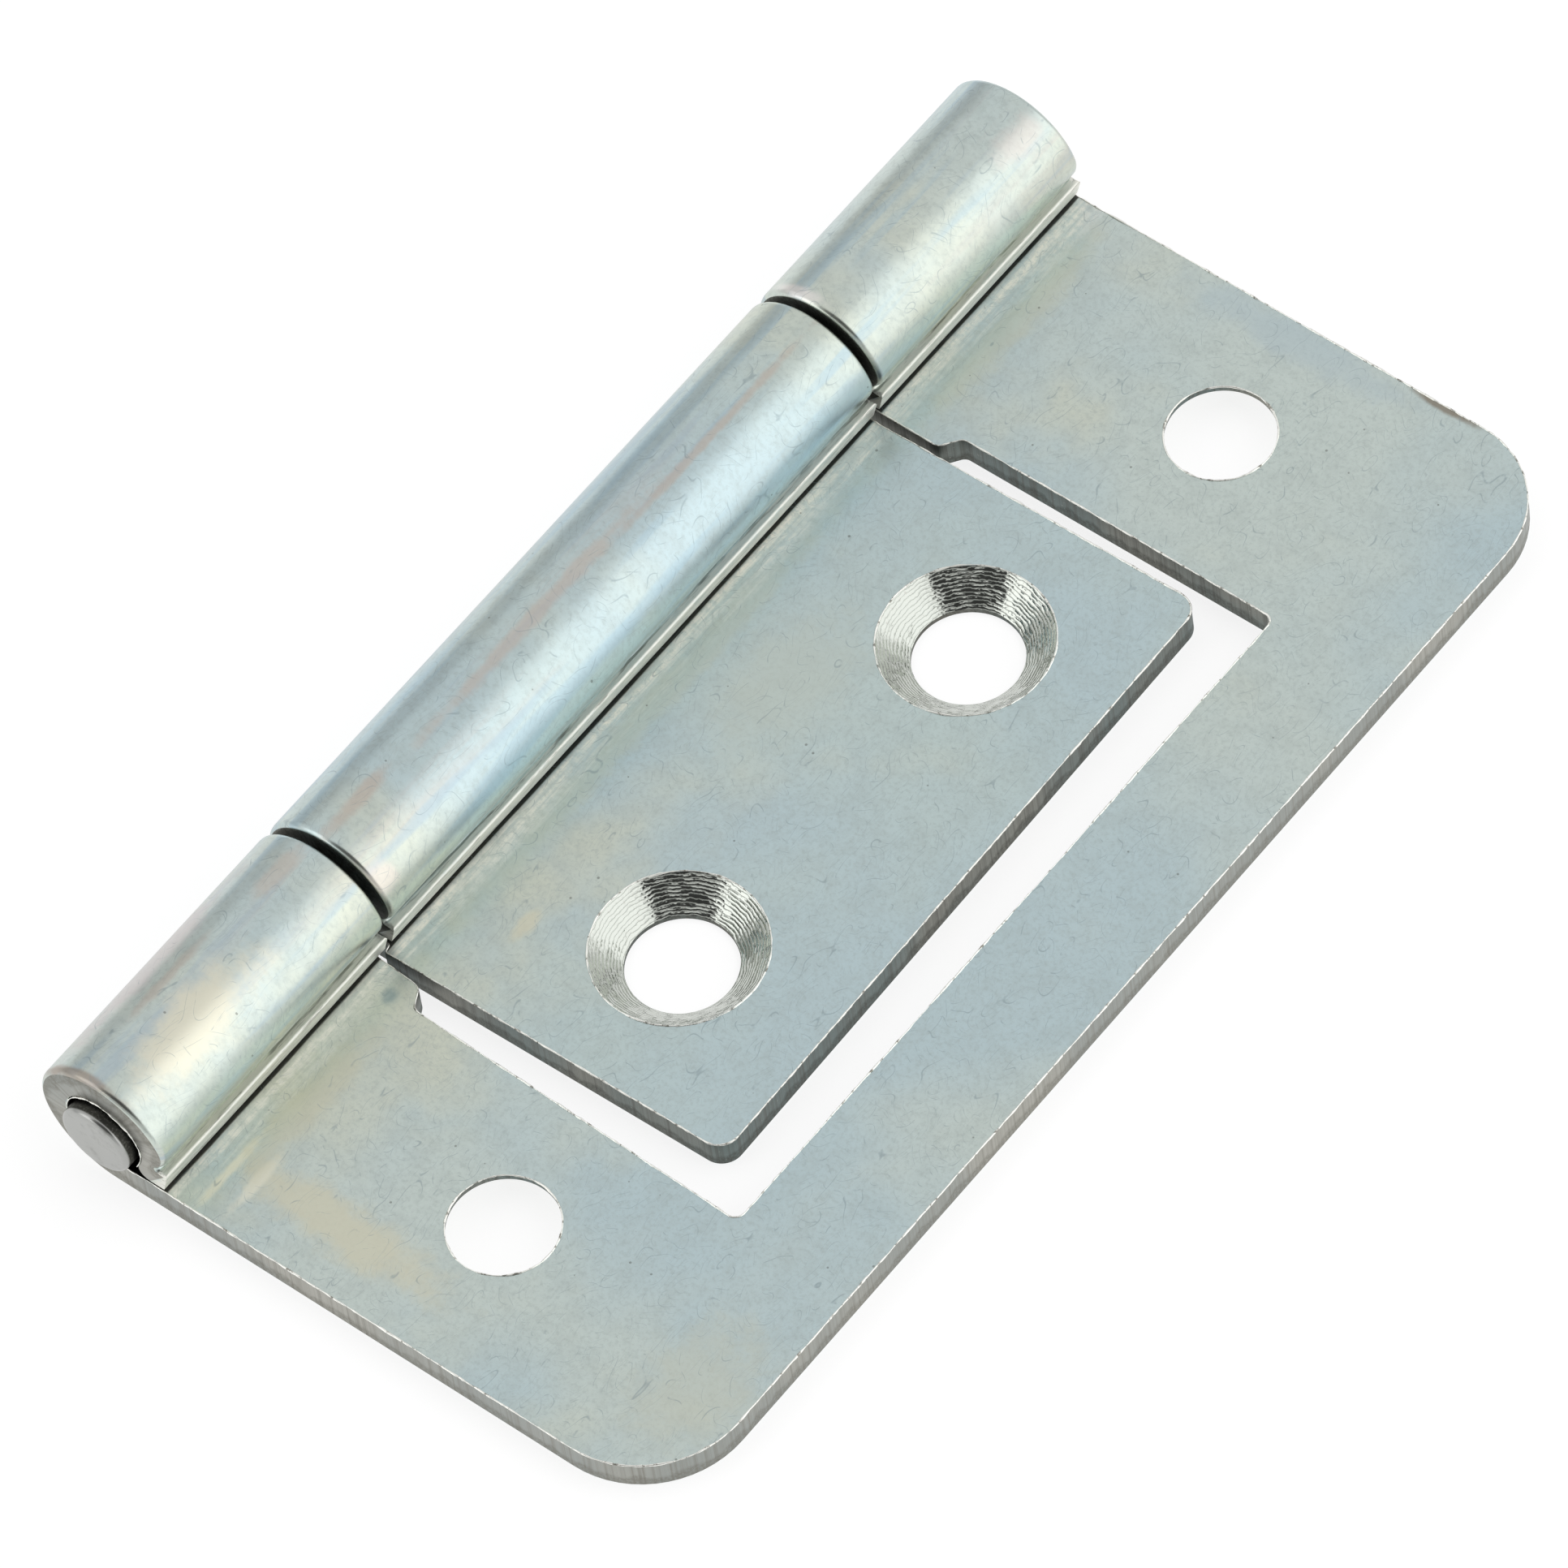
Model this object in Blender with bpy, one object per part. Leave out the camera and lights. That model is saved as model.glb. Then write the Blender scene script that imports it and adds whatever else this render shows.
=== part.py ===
"""Flush hinge for a cabinet door, in rolled and punched sheet steel.

Three pieces: a frame leaf with two end knuckles and a window, a flap leaf that nests in that
window and carries the long middle knuckle, and the plain pin that both are rolled around.
Units are metres. +X runs from the pin to the free edges, +Y along the pin, +Z up. The
undersides of both leaves lie on z = 0, and the origin is the middle of the hinge's footprint.
"""

import math

import bmesh
import bpy
from mathutils import Matrix, Vector

MM = 0.001

# Sheet and pin
SHEET = 1.5 * MM
PIN_RADIUS = 1.92 * MM
PIN_CLEARANCE = 0.08 * MM
PIN_STANDS_PROUD = 0.6 * MM
PIN_END_ROUND = 0.25 * MM

# Frame leaf: its length along the pin, its reach from the pin axis, and the bands round its window
FRAME_LENGTH = 63.0 * MM
FRAME_REACH = 30.0 * MM
FRAME_CORNER = 5.0 * MM
END_KNUCKLE = 14.15 * MM
FREE_BAND = 6.2 * MM
FRAME_HOLE_FROM_END = 6.75 * MM
FRAME_HOLE_FROM_EDGE = 14.0 * MM
FRAME_HOLE_LAND = 0.3 * MM

# Gaps between the nested flap and the window
KNUCKLE_GAP = 0.35 * MM
SIDE_GAP = 1.4 * MM
TIP_GAP = 2.8 * MM
WINDOW_CORNER = 0.45 * MM
RELIEF_FROM_BARREL = 2.2 * MM
RELIEF_RUN = 0.9 * MM
RELIEF_CORNER = 0.5 * MM

# Flap leaf: what the window and its gaps leave
FLAP_LENGTH = FRAME_LENGTH - 2 * (END_KNUCKLE + KNUCKLE_GAP)
FLAP_REACH = FRAME_REACH - FREE_BAND - TIP_GAP
FLAP_CORNER = 1.0 * MM
FLAP_HOLE_FROM_END = 7.25 * MM
FLAP_HOLE_FROM_EDGE = 7.6 * MM
FLAP_HOLE_LAND = 0.25 * MM

# Screw holes
SCREW_HOLE_RADIUS = 2.5 * MM
COUNTERSINK_RADIUS = 3.95 * MM

# Rolled end of the sheet, where it meets the leaf again and turns outwards in a short foot
NECK_WALL = 0.8 * MM
SHOULDER_RADIUS = 1.3 * MM
NOTCH_RADIUS = 0.15 * MM
FOOT_THICKNESS = 1.25 * MM
FOOT_LIFT = 0.1 * MM
FOOT_SETBACK = 0.15 * MM
FOOT_END_LEAN = 0.35 * MM
FOOT_CORNER = 0.2 * MM
TIP_RADIUS = 0.55 * MM

# Finish of the cut edges
EDGE_ROUND = 0.12 * MM
EDGE_SEGMENTS = 2
EDGE_ANGLE = math.radians(55.0)

# Fineness of round shapes in degrees, and how far blanks and cutters run past a cut
LARGE_STEP = 5.0
PLAN_STEP = 7.5
SMALL_STEP = 20.0
OVERRUN = 2.0 * MM
HEAD_OVERRUN = 0.1 * MM

BORE_RADIUS = PIN_RADIUS + PIN_CLEARANCE
BARREL_RADIUS = BORE_RADIUS + SHEET
AXIS_X = (BARREL_RADIUS - FRAME_REACH) / 2
AXIS_Z = BARREL_RADIUS
FOOT_BOTTOM = FOOT_LIFT - BORE_RADIUS
FOOT_TOP = FOOT_BOTTOM + FOOT_THICKNESS


def clear_scene():
    """Remove the objects that a new file starts with."""
    for item in list(bpy.data.objects):
        bpy.data.objects.remove(item, do_unlink=True)


def arc(centre, radius, start, end, step):
    """Points on an arc from start to end, in degrees; an end below the start runs clockwise."""
    count = max(1, math.ceil(abs(end - start) / step))
    points = []
    for index in range(count + 1):
        angle = math.radians(start + (end - start) * index / count)
        points.append((centre[0] + radius * math.cos(angle), centre[1] + radius * math.sin(angle)))
    return points


def rounded_corner(before, corner, after, radius, step):
    """Arc that rounds the corner between two straight runs."""
    corner = Vector(corner)
    back = (Vector(before) - corner).normalized()
    ahead = (Vector(after) - corner).normalized()
    half = back.angle(ahead) / 2
    centre = corner + (back + ahead).normalized() * radius / math.sin(half)
    first = corner + back * radius / math.tan(half) - centre
    last = corner + ahead * radius / math.tan(half) - centre
    start = math.atan2(first.y, first.x)
    sweep = math.remainder(math.atan2(last.y, last.x) - start, math.tau)
    return arc(centre, radius, math.degrees(start), math.degrees(start + sweep), step)


def rounded_polygon(corners):
    """Outline through (x, y, radius) corners, with an arc at each one that has a radius."""
    points = []
    for index, (x, y, radius) in enumerate(corners):
        if radius == 0:
            points.append((x, y))
            continue
        before = corners[index - 1][:2]
        after = corners[(index + 1) % len(corners)][:2]
        points.extend(rounded_corner(before, (x, y), after, radius, PLAN_STEP))
    return points


def roll_outline(reach):
    """Section of a leaf about the pin axis: flat sheet, barrel, shoulder, notch and foot."""
    foot_end = BARREL_RADIUS - FOOT_SETBACK

    # The notch is a small hollow arc that leaves the necked wall between itself and the bore
    notch_z = FOOT_TOP + NOTCH_RADIUS
    notch_distance = BORE_RADIUS + NECK_WALL + NOTCH_RADIUS
    notch = Vector((math.sqrt(notch_distance**2 - notch_z**2), notch_z))

    # The shoulder arc touches the barrel from inside and the notch from outside
    to_shoulder = BARREL_RADIUS - SHOULDER_RADIUS
    between = SHOULDER_RADIUS + NOTCH_RADIUS
    along = (to_shoulder**2 - between**2 + notch_distance**2) / (2 * notch_distance)
    aside = math.sqrt(to_shoulder**2 - along**2)
    outward = notch.normalized()
    shoulder = outward * along + Vector((-outward.y, outward.x)) * aside
    shoulder_start = math.degrees(math.atan2(shoulder.y, shoulder.x))
    meeting = notch - shoulder
    shoulder_end = math.degrees(math.atan2(meeting.y, meeting.x))

    # The rounded inner tip of the foot touches the foot's underside and the bore
    tip_z = FOOT_BOTTOM + TIP_RADIUS
    tip = Vector((math.sqrt((BORE_RADIUS + TIP_RADIUS) ** 2 - tip_z**2), tip_z))
    tip_angle = math.degrees(math.atan2(tip.y, tip.x))

    top_corner = (foot_end, FOOT_TOP)
    bottom_corner = (foot_end - FOOT_END_LEAN, FOOT_BOTTOM)
    centre = (0.0, 0.0)

    outline = [(reach, -BARREL_RADIUS)]
    outline += arc(centre, BARREL_RADIUS, -90, -270, LARGE_STEP)
    outline += arc(centre, BARREL_RADIUS, 90, shoulder_start, LARGE_STEP)[1:]
    outline += arc(shoulder, SHOULDER_RADIUS, shoulder_start, shoulder_end, SMALL_STEP / 2)[1:]
    outline += arc(notch, NOTCH_RADIUS, shoulder_end + 180, 270, 2 * SMALL_STEP)[1:]
    foot = [(notch.x, FOOT_TOP), top_corner, bottom_corner, (tip.x, FOOT_BOTTOM)]
    outline += rounded_corner(*foot[:3], FOOT_CORNER, SMALL_STEP)
    outline += rounded_corner(*foot[1:], FOOT_CORNER, SMALL_STEP)
    outline += arc(tip, TIP_RADIUS, 270, 180 + tip_angle, SMALL_STEP)
    outline += arc(centre, BORE_RADIUS, tip_angle, 270, LARGE_STEP)[1:]
    outline.append((reach, -BORE_RADIUS))
    return outline


def closed_mesh(name, bottom, top):
    """Mesh between two matching rings of points, closed by a flat face at each end."""
    work = bmesh.new()
    lower = [work.verts.new(point) for point in bottom]
    upper = [work.verts.new(point) for point in top]
    work.faces.new(lower)
    work.faces.new(upper)
    for index, vertex in enumerate(lower):
        following = (index + 1) % len(lower)
        work.faces.new((vertex, lower[following], upper[following], upper[index]))
    bmesh.ops.recalc_face_normals(work, faces=work.faces)
    mesh = bpy.data.meshes.new(name)
    work.to_mesh(mesh)
    work.free()
    return mesh


def turned_mesh(name, profile, axis):
    """Mesh turned from a (radius, height) profile that starts and ends on its axis."""
    work = bmesh.new()
    across = Vector((0.0, 1.0, 0.0)) if axis.z else Vector((0.0, 0.0, 1.0))
    rim = [work.verts.new(across * radius + axis * height) for radius, height in profile]
    edges = [work.edges.new(pair) for pair in zip(rim, rim[1:])]
    steps = round(360 / LARGE_STEP)
    bmesh.ops.spin(work, geom=rim + edges, cent=(0, 0, 0), axis=axis, angle=math.tau, steps=steps)
    bmesh.ops.remove_doubles(work, verts=work.verts, dist=0.001 * MM)
    bmesh.ops.recalc_face_normals(work, faces=work.faces)
    mesh = bpy.data.meshes.new(name)
    work.to_mesh(mesh)
    work.free()
    return mesh


def add_object(name, mesh):
    """Put a mesh in the scene, in axes that start at the middle of the pin."""
    item = bpy.data.objects.new(name, mesh)
    item.location = (AXIS_X, 0.0, AXIS_Z)
    bpy.context.scene.collection.objects.link(item)
    return item


def add_cutter(name, mesh):
    """Put a mesh in the scene that only shapes other objects."""
    cutter = add_object(name, mesh)
    cutter.hide_render = True
    cutter.display_type = "WIRE"
    return cutter


def shape_with(item, cutter, operation):
    """Add an exact Boolean modifier to an object."""
    modifier = item.modifiers.new(cutter.name, "BOOLEAN")
    modifier.operation = operation
    modifier.solver = "EXACT"
    modifier.object = cutter


def plan_cutter(name, outline):
    """Upright prism over an outline in plan, taller than the barrel."""
    height = BARREL_RADIUS + OVERRUN
    bottom = [(x, y, -height) for x, y in outline]
    top = [(x, y, height) for x, y in outline]
    return add_cutter(name, closed_mesh(name, bottom, top))


def rolled_blank(name, reach, length):
    """Strip of sheet rolled to the section, longer than the leaf that is cut from it."""
    half = length / 2 + OVERRUN
    outline = roll_outline(reach + OVERRUN)
    near = [(x, -half, z) for x, z in outline]
    far = [(x, half, z) for x, z in outline]
    return add_object(name, closed_mesh(name, near, far))


def cut_to_plan(item, reach, length, corner):
    """Trim a blank to its length and reach, with rounded corners at the free edge."""
    back = -BARREL_RADIUS - OVERRUN
    half = length / 2
    outline = rounded_polygon([(back, -half, 0), (reach, -half, corner), (reach, half, corner), (back, half, 0)])
    shape_with(item, plan_cutter(item.name + "_plan", outline), "INTERSECT")


def cut_window(item):
    """Open the frame leaf for the flap: a narrow gap at the knuckles, a wider one round the leaf."""
    back = -BARREL_RADIUS - OVERRUN
    neck = FLAP_LENGTH / 2 + KNUCKLE_GAP
    half = FLAP_LENGTH / 2 + SIDE_GAP
    far = FLAP_REACH + TIP_GAP
    relief = BARREL_RADIUS + RELIEF_FROM_BARREL
    near_side = [
        (back, -neck, 0),
        (relief, -neck, RELIEF_CORNER),
        (relief + RELIEF_RUN, -half, RELIEF_CORNER),
        (far, -half, WINDOW_CORNER),
    ]
    far_side = [(x, -y, radius) for x, y, radius in reversed(near_side)]
    outline = rounded_polygon(near_side + far_side)
    shape_with(item, plan_cutter(item.name + "_window", outline), "DIFFERENCE")


def cut_screw_holes(item, holes, land, head_up):
    """Screw holes with a straight land and a countersink that opens upwards or downwards."""
    face = -BORE_RADIUS if head_up else -BARREL_RADIUS
    out = 1 if head_up else -1
    flare = (COUNTERSINK_RADIUS - SCREW_HOLE_RADIUS) / (SHEET - land)
    mouth = COUNTERSINK_RADIUS + flare * HEAD_OVERRUN
    profile = [
        (0.0, OVERRUN),
        (mouth, OVERRUN),
        (mouth, HEAD_OVERRUN),
        (SCREW_HOLE_RADIUS, land - SHEET),
        (SCREW_HOLE_RADIUS, -SHEET - OVERRUN),
        (0.0, -SHEET - OVERRUN),
    ]
    name = item.name + "_drill"
    for x, y in holes:
        mesh = turned_mesh(name, [(radius, out * height) for radius, height in profile], Vector((0, 0, 1)))
        mesh.transform(Matrix.Translation((x, y, face)))
        shape_with(item, add_cutter(name, mesh), "DIFFERENCE")


def round_cut_edges(item):
    """Take the sharpness off the punched and sheared edges."""
    modifier = item.modifiers.new("edges", "BEVEL")
    modifier.width = EDGE_ROUND
    modifier.segments = EDGE_SEGMENTS
    modifier.limit_method = "ANGLE"
    modifier.angle_limit = EDGE_ANGLE


def smooth_round_faces(item):
    """Shade the round stretches smooth and keep the cut edges sharp."""
    item.data.shade_smooth()
    item.data.set_sharp_from_angle(angle=math.radians(30))


def metal(name, colour, roughness):
    """Bare or plated metal."""
    material = bpy.data.materials.new(name)
    material.use_nodes = True
    shader = material.node_tree.nodes["Principled BSDF"]
    shader.inputs["Base Color"].default_value = (*colour, 1.0)
    shader.inputs["Metallic"].default_value = 1.0
    shader.inputs["Roughness"].default_value = roughness
    return material


def build_outer_leaf():
    """Frame leaf: two end knuckles, window, and holes countersunk from below."""
    hole_x = FRAME_REACH - FRAME_HOLE_FROM_EDGE
    hole_y = FRAME_LENGTH / 2 - FRAME_HOLE_FROM_END
    holes = [(hole_x, -hole_y), (hole_x, hole_y)]
    leaf = rolled_blank("outer_leaf", FRAME_REACH, FRAME_LENGTH)
    cut_to_plan(leaf, FRAME_REACH, FRAME_LENGTH, FRAME_CORNER)
    cut_window(leaf)
    cut_screw_holes(leaf, holes, FRAME_HOLE_LAND, head_up=False)
    round_cut_edges(leaf)
    smooth_round_faces(leaf)
    leaf.data.materials.append(metal("zinc_frame_leaf", (0.52, 0.57, 0.56), 0.28))


def build_inner_leaf():
    """Flap leaf: one long knuckle, and holes countersunk from above."""
    hole_x = FLAP_REACH - FLAP_HOLE_FROM_EDGE
    hole_y = FLAP_LENGTH / 2 - FLAP_HOLE_FROM_END
    holes = [(hole_x, -hole_y), (hole_x, hole_y)]
    leaf = rolled_blank("inner_leaf", FLAP_REACH, FLAP_LENGTH)
    cut_to_plan(leaf, FLAP_REACH, FLAP_LENGTH, FLAP_CORNER)
    cut_screw_holes(leaf, holes, FLAP_HOLE_LAND, head_up=True)
    round_cut_edges(leaf)
    smooth_round_faces(leaf)
    leaf.data.materials.append(metal("zinc_flap_leaf", (0.50, 0.56, 0.56), 0.26))


def build_hinge_pin():
    """Plain pin with slightly rounded ends that stand just proud of the end knuckles."""
    half = FRAME_LENGTH / 2 + PIN_STANDS_PROUD
    inner = PIN_RADIUS - PIN_END_ROUND
    straight = half - PIN_END_ROUND
    profile = [(0.0, -half)]
    profile += arc((inner, -straight), PIN_END_ROUND, -90, 0, SMALL_STEP)
    profile += arc((inner, straight), PIN_END_ROUND, 0, 90, SMALL_STEP)
    profile.append((0.0, half))
    pin = add_object("hinge_pin", turned_mesh("hinge_pin", profile, Vector((0, 1, 0))))
    smooth_round_faces(pin)
    pin.data.materials.append(metal("steel_pin", (0.36, 0.36, 0.35), 0.35))


def main():
    """Build the hinge."""
    clear_scene()
    build_outer_leaf()
    build_inner_leaf()
    build_hinge_pin()


main()
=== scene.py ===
"""Looks of the flush hinge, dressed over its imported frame.

Each leaf is made as the real one is: a flat blank is sheared to its outline, its holes are
countersunk, and the blank is rolled round the pin. A blank has its own axes: s along the sheet
from the line under the pin, y along the pin, and depth below the face that the roll closes on.
Lengths are in metres and angles in degrees, but patterns and stains are in millimetres.
"""

import logging
import math
from dataclasses import dataclass
from enum import Enum

import bmesh
import bpy
from mathutils import Matrix, Vector


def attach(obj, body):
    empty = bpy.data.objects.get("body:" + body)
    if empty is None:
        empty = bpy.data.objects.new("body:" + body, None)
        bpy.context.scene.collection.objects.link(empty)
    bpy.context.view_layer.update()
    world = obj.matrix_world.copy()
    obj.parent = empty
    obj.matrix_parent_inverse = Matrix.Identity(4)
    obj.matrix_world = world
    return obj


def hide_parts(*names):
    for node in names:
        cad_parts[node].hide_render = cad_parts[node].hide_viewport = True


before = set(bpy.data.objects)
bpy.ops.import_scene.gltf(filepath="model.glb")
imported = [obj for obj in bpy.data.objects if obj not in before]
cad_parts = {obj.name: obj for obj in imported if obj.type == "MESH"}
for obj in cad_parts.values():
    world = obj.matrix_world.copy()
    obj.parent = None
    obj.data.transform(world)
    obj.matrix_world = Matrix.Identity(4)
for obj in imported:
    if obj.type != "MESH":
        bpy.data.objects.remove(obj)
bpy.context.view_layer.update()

MM = 0.001
JOIN = 0.001 * MM
log = logging.getLogger("hinge")

Item = bpy.types.Object
Material = bpy.types.Material
Tree = bpy.types.NodeTree
Point = tuple[float, float]
Corner = tuple[float, float, float]
Colour = tuple[float, float, float]
Station = tuple[float, Point, Point]


class Opening(Enum):
    """Side of the sheet that a countersink opens to."""

    UPWARDS = 1
    DOWNWARDS = -1


class Region(Enum):
    """Finish that a face of a leaf gets, by its place in the leaf's list of materials."""

    SHEET = 0
    OUTER_WALL = 1
    # Walls inside the hinge, whose copy of the sheared finish is painted darker as shade.
    INNER_WALL = 2
    COUNTERSINK = 3


def srgb(colour: Colour) -> tuple[float, ...]:
    """Turn a colour as seen on a screen into the linear colour that a shader takes.

    Args:
        colour: Red, green and blue, from 0 to 255.

    Returns:
        Linear red, green, blue and full opacity.
    """
    levels = [value / 255 for value in colour]
    linear = [level / 12.92 if level <= 0.04045 else ((level + 0.055) / 1.055) ** 2.4 for level in levels]
    return (*linear, 1.0)


def arc(centre: Point, radius: float, start: float, end: float, count: int) -> list[Point]:
    """Points on an arc.

    Args:
        centre: Centre of the arc.
        radius: Its radius.
        start: First angle; an end below it runs clockwise.
        end: Last angle.
        count: Number of steps.

    Returns:
        One point more than there are steps.
    """
    angles = [math.radians(start + (end - start) * index / count) for index in range(count + 1)]
    return [(centre[0] + radius * math.cos(angle), centre[1] + radius * math.sin(angle)) for angle in angles]


def line(start: Point, end: Point, count: int) -> list[Point]:
    """Points on a straight run, one more than its count of steps."""
    steps = [(end[0] - start[0], end[1] - start[1], index) for index in range(count + 1)]
    return [(start[0] + x * index / count, start[1] + y * index / count) for x, y, index in steps]


def rounded_polygon(corners: list[Corner], step: float = 6.0) -> list[Point]:
    """Outline through corners, with an arc at each one that has a radius.

    Args:
        corners: Place and radius of each corner, in order.
        step: Longest turn between two points on an arc.

    Returns:
        The points of the outline.
    """
    points: list[Point] = []
    for index, (x, y, radius) in enumerate(corners):
        if radius == 0:
            points.append((x, y))
            continue
        corner = Vector((x, y))
        back = (Vector(corners[index - 1][:2]) - corner).normalized()
        ahead = (Vector(corners[(index + 1) % len(corners)][:2]) - corner).normalized()
        half = back.angle(ahead) / 2
        centre = corner + (back + ahead).normalized() * radius / math.sin(half)
        first = corner + back * radius / math.tan(half) - centre
        last = corner + ahead * radius / math.tan(half) - centre
        start = math.atan2(first.y, first.x)
        sweep = math.remainder(math.atan2(last.y, last.x) - start, math.tau)
        count = max(1, math.ceil(abs(math.degrees(sweep)) / step))
        points.extend(arc(tuple(centre), radius, math.degrees(start), math.degrees(start + sweep), count))
    return points


def split_outline(corners: list[Point], spacing: float) -> list[Point]:
    """Split the long runs of a closed outline.

    Args:
        corners: Points of the outline.
        spacing: Longest step that is left.

    Returns:
        The points, with new ones between those that lie far apart.
    """
    points: list[Point] = []
    for start, end in zip(corners, corners[1:] + corners[:1]):
        count = max(1, math.ceil(math.dist(start, end) / spacing))
        points.extend(line(start, end, count)[:-1])
    return points


def inward_steps(outline: list[Point]) -> list[Vector]:
    """Step at each point of an outline that moves both of its sides inwards by one.

    Args:
        outline: Points of a closed outline, in either direction.

    Returns:
        A step for each point.
    """
    pairs = list(zip(outline, outline[1:] + outline[:1]))
    side = math.copysign(1.0, sum(start[0] * end[1] - end[0] * start[1] for start, end in pairs))
    normals = []
    for start, end in pairs:
        along = (Vector(end) - Vector(start)).normalized()
        normals.append(Vector((-along.y, along.x)) * side)
    sides = zip([normals[-1], *normals], normals)
    return [(before + after) / (1 + before.dot(after)) for before, after in sides]


def add_object(name: str, mesh: bpy.types.Mesh) -> Item:
    """Put a mesh in the scene.

    Args:
        name: Name of the new object.
        mesh: Its mesh, with its place in its points.

    Returns:
        The new object, at the origin.
    """
    item = bpy.data.objects.new(name, mesh)
    bpy.context.scene.collection.objects.link(item)
    return item


def bake_modifiers(item: Item) -> None:
    """Turn an object's modifiers into its own plain mesh.

    Args:
        item: Object that keeps its name and gets the evaluated mesh.
    """
    bpy.context.view_layer.update()
    depsgraph = bpy.context.evaluated_depsgraph_get()
    made = bpy.data.meshes.new_from_object(item.evaluated_get(depsgraph), depsgraph=depsgraph)
    made.name = item.name
    item.modifiers.clear()
    item.data = made


def write_outwards(work: bmesh.types.BMesh, mesh: bpy.types.Mesh) -> None:
    """Turn the faces of a closed shape outwards and write it to a mesh.

    Args:
        work: The shape, which is freed.
        mesh: Mesh that takes it.
    """
    bmesh.ops.recalc_face_normals(work, faces=work.faces)
    work.to_mesh(mesh)
    work.free()


class Signal:
    """Output of a node, so that sums and products of outputs are written as those of numbers are."""

    def __init__(self, wiring: "Wiring", socket: bpy.types.NodeSocket) -> None:
        """Hold a socket and the wiring of its tree."""
        self.wiring = wiring
        self.socket = socket

    def __add__(self, other: "Signal | float") -> "Signal":
        """Add a signal or number."""
        return self.wiring.math("ADD", self, other)

    def __sub__(self, other: "Signal | float") -> "Signal":
        """Take a signal or number away."""
        return self.wiring.math("SUBTRACT", self, other)

    def __rsub__(self, other: float) -> "Signal":
        """Take this signal away from a number."""
        return self.wiring.math("SUBTRACT", other, self)

    def __mul__(self, other: "Signal | float") -> "Signal":
        """Multiply by a signal or number."""
        return self.wiring.math("MULTIPLY", self, other)

    def __truediv__(self, other: "Signal | float") -> "Signal":
        """Divide by a signal or number."""
        return self.wiring.math("DIVIDE", self, other)

    def scaled(self, factor: float, offset: float) -> "Signal":
        """Multiply by a factor and add an offset."""
        return self.wiring.math("MULTIPLY_ADD", self, factor, offset)


class Outputs:
    """All outputs of a node."""

    def __init__(self, wiring: "Wiring", node: bpy.types.Node) -> None:
        """Hold a node and the wiring of its tree."""
        self.wiring = wiring
        self.node = node

    def __getitem__(self, key: str | int) -> Signal:
        """Output with a name or number."""
        return Signal(self.wiring, self.node.outputs[key])


class Wiring:
    """Nodes and links of one node tree, added a node at a time."""

    def __init__(self, tree: Tree) -> None:
        """Start on a tree."""
        self.tree = tree

    def connect(self, node: bpy.types.Node, inputs: dict) -> None:
        """Set or link a node's inputs.

        Args:
            node: The node.
            inputs: Value or signal for each input, by its name or number.
        """
        for key, value in inputs.items():
            if isinstance(value, Signal):
                self.tree.links.new(value.socket, node.inputs[key])
            else:
                node.inputs[key].default_value = value

    def add(self, kind: str, inputs: dict | None = None, **settings: object) -> Outputs:
        """Add a node.

        Args:
            kind: Blender's name for the kind of node.
            inputs: Value or signal for each input, by its name or number.
            settings: Options of the node itself.

        Returns:
            The node's outputs.
        """
        node = self.tree.nodes.new(kind)
        for name, value in settings.items():
            setattr(node, name, value)
        self.connect(node, inputs or {})
        return Outputs(self, node)

    def math(self, operation: str, *values: Signal | float, clamp: bool = False) -> Signal:
        """Add a Math node.

        Args:
            operation: Its operation.
            values: Numbers or signals.
            clamp: Whether the result stays from 0 to 1.

        Returns:
            The result.
        """
        return self.add("ShaderNodeMath", dict(enumerate(values)), operation=operation, use_clamp=clamp)[0]

    def span(
        self, value: Signal, low: float, high: float, to_low: float = 0.0, to_high: float = 1.0
    ) -> Signal:
        """Map a value smoothly from one range to another.

        Args:
            value: The value.
            low: Value that gives to_low.
            high: Value that gives to_high.
            to_low: Result at low and before it.
            to_high: Result at high and beyond it.

        Returns:
            The result.
        """
        inputs = {"Value": value, "From Min": low, "From Max": high, "To Min": to_low, "To Max": to_high}
        return self.add("ShaderNodeMapRange", inputs, interpolation_type="SMOOTHSTEP")["Result"]

    def mix(self, share: Signal, first: Signal | Colour, second: Signal | Colour) -> Signal:
        """Mix two colours.

        Args:
            share: How much of the second colour there is.
            first: First colour.
            second: Second colour.

        Returns:
            The mixed colour.
        """
        first, second = (srgb(colour) if isinstance(colour, tuple) else colour for colour in (first, second))
        return self.add("ShaderNodeMix", {0: share, 6: first, 7: second}, data_type="RGBA")[2]

    def noise(self, place: Signal, scale: float, detail: float = 2.0, roughness: float = 0.5) -> Signal:
        """Add a noise texture.

        Args:
            place: Coordinates in millimetres.
            scale: Features per millimetre.
            detail: Number of finer layers.
            roughness: Strength of the finer layers.

        Returns:
            The noise, from 0 to 1.
        """
        inputs = {"Vector": place, "Scale": scale, "Detail": detail, "Roughness": roughness}
        return self.add("ShaderNodeTexNoise", inputs)[0]

    def split(self, place: Signal) -> list[Signal]:
        """Split a vector into its three parts."""
        parts = self.add("ShaderNodeSeparateXYZ", {0: place})
        return [parts[index] for index in range(3)]

    def stretch(self, place: Signal, scale: Corner, **inputs: Corner) -> Signal:
        """Scale coordinates, after a turn or move that is named as Blender does."""
        return self.add("ShaderNodeMapping", {"Vector": place, "Scale": scale, **inputs})[0]


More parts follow.
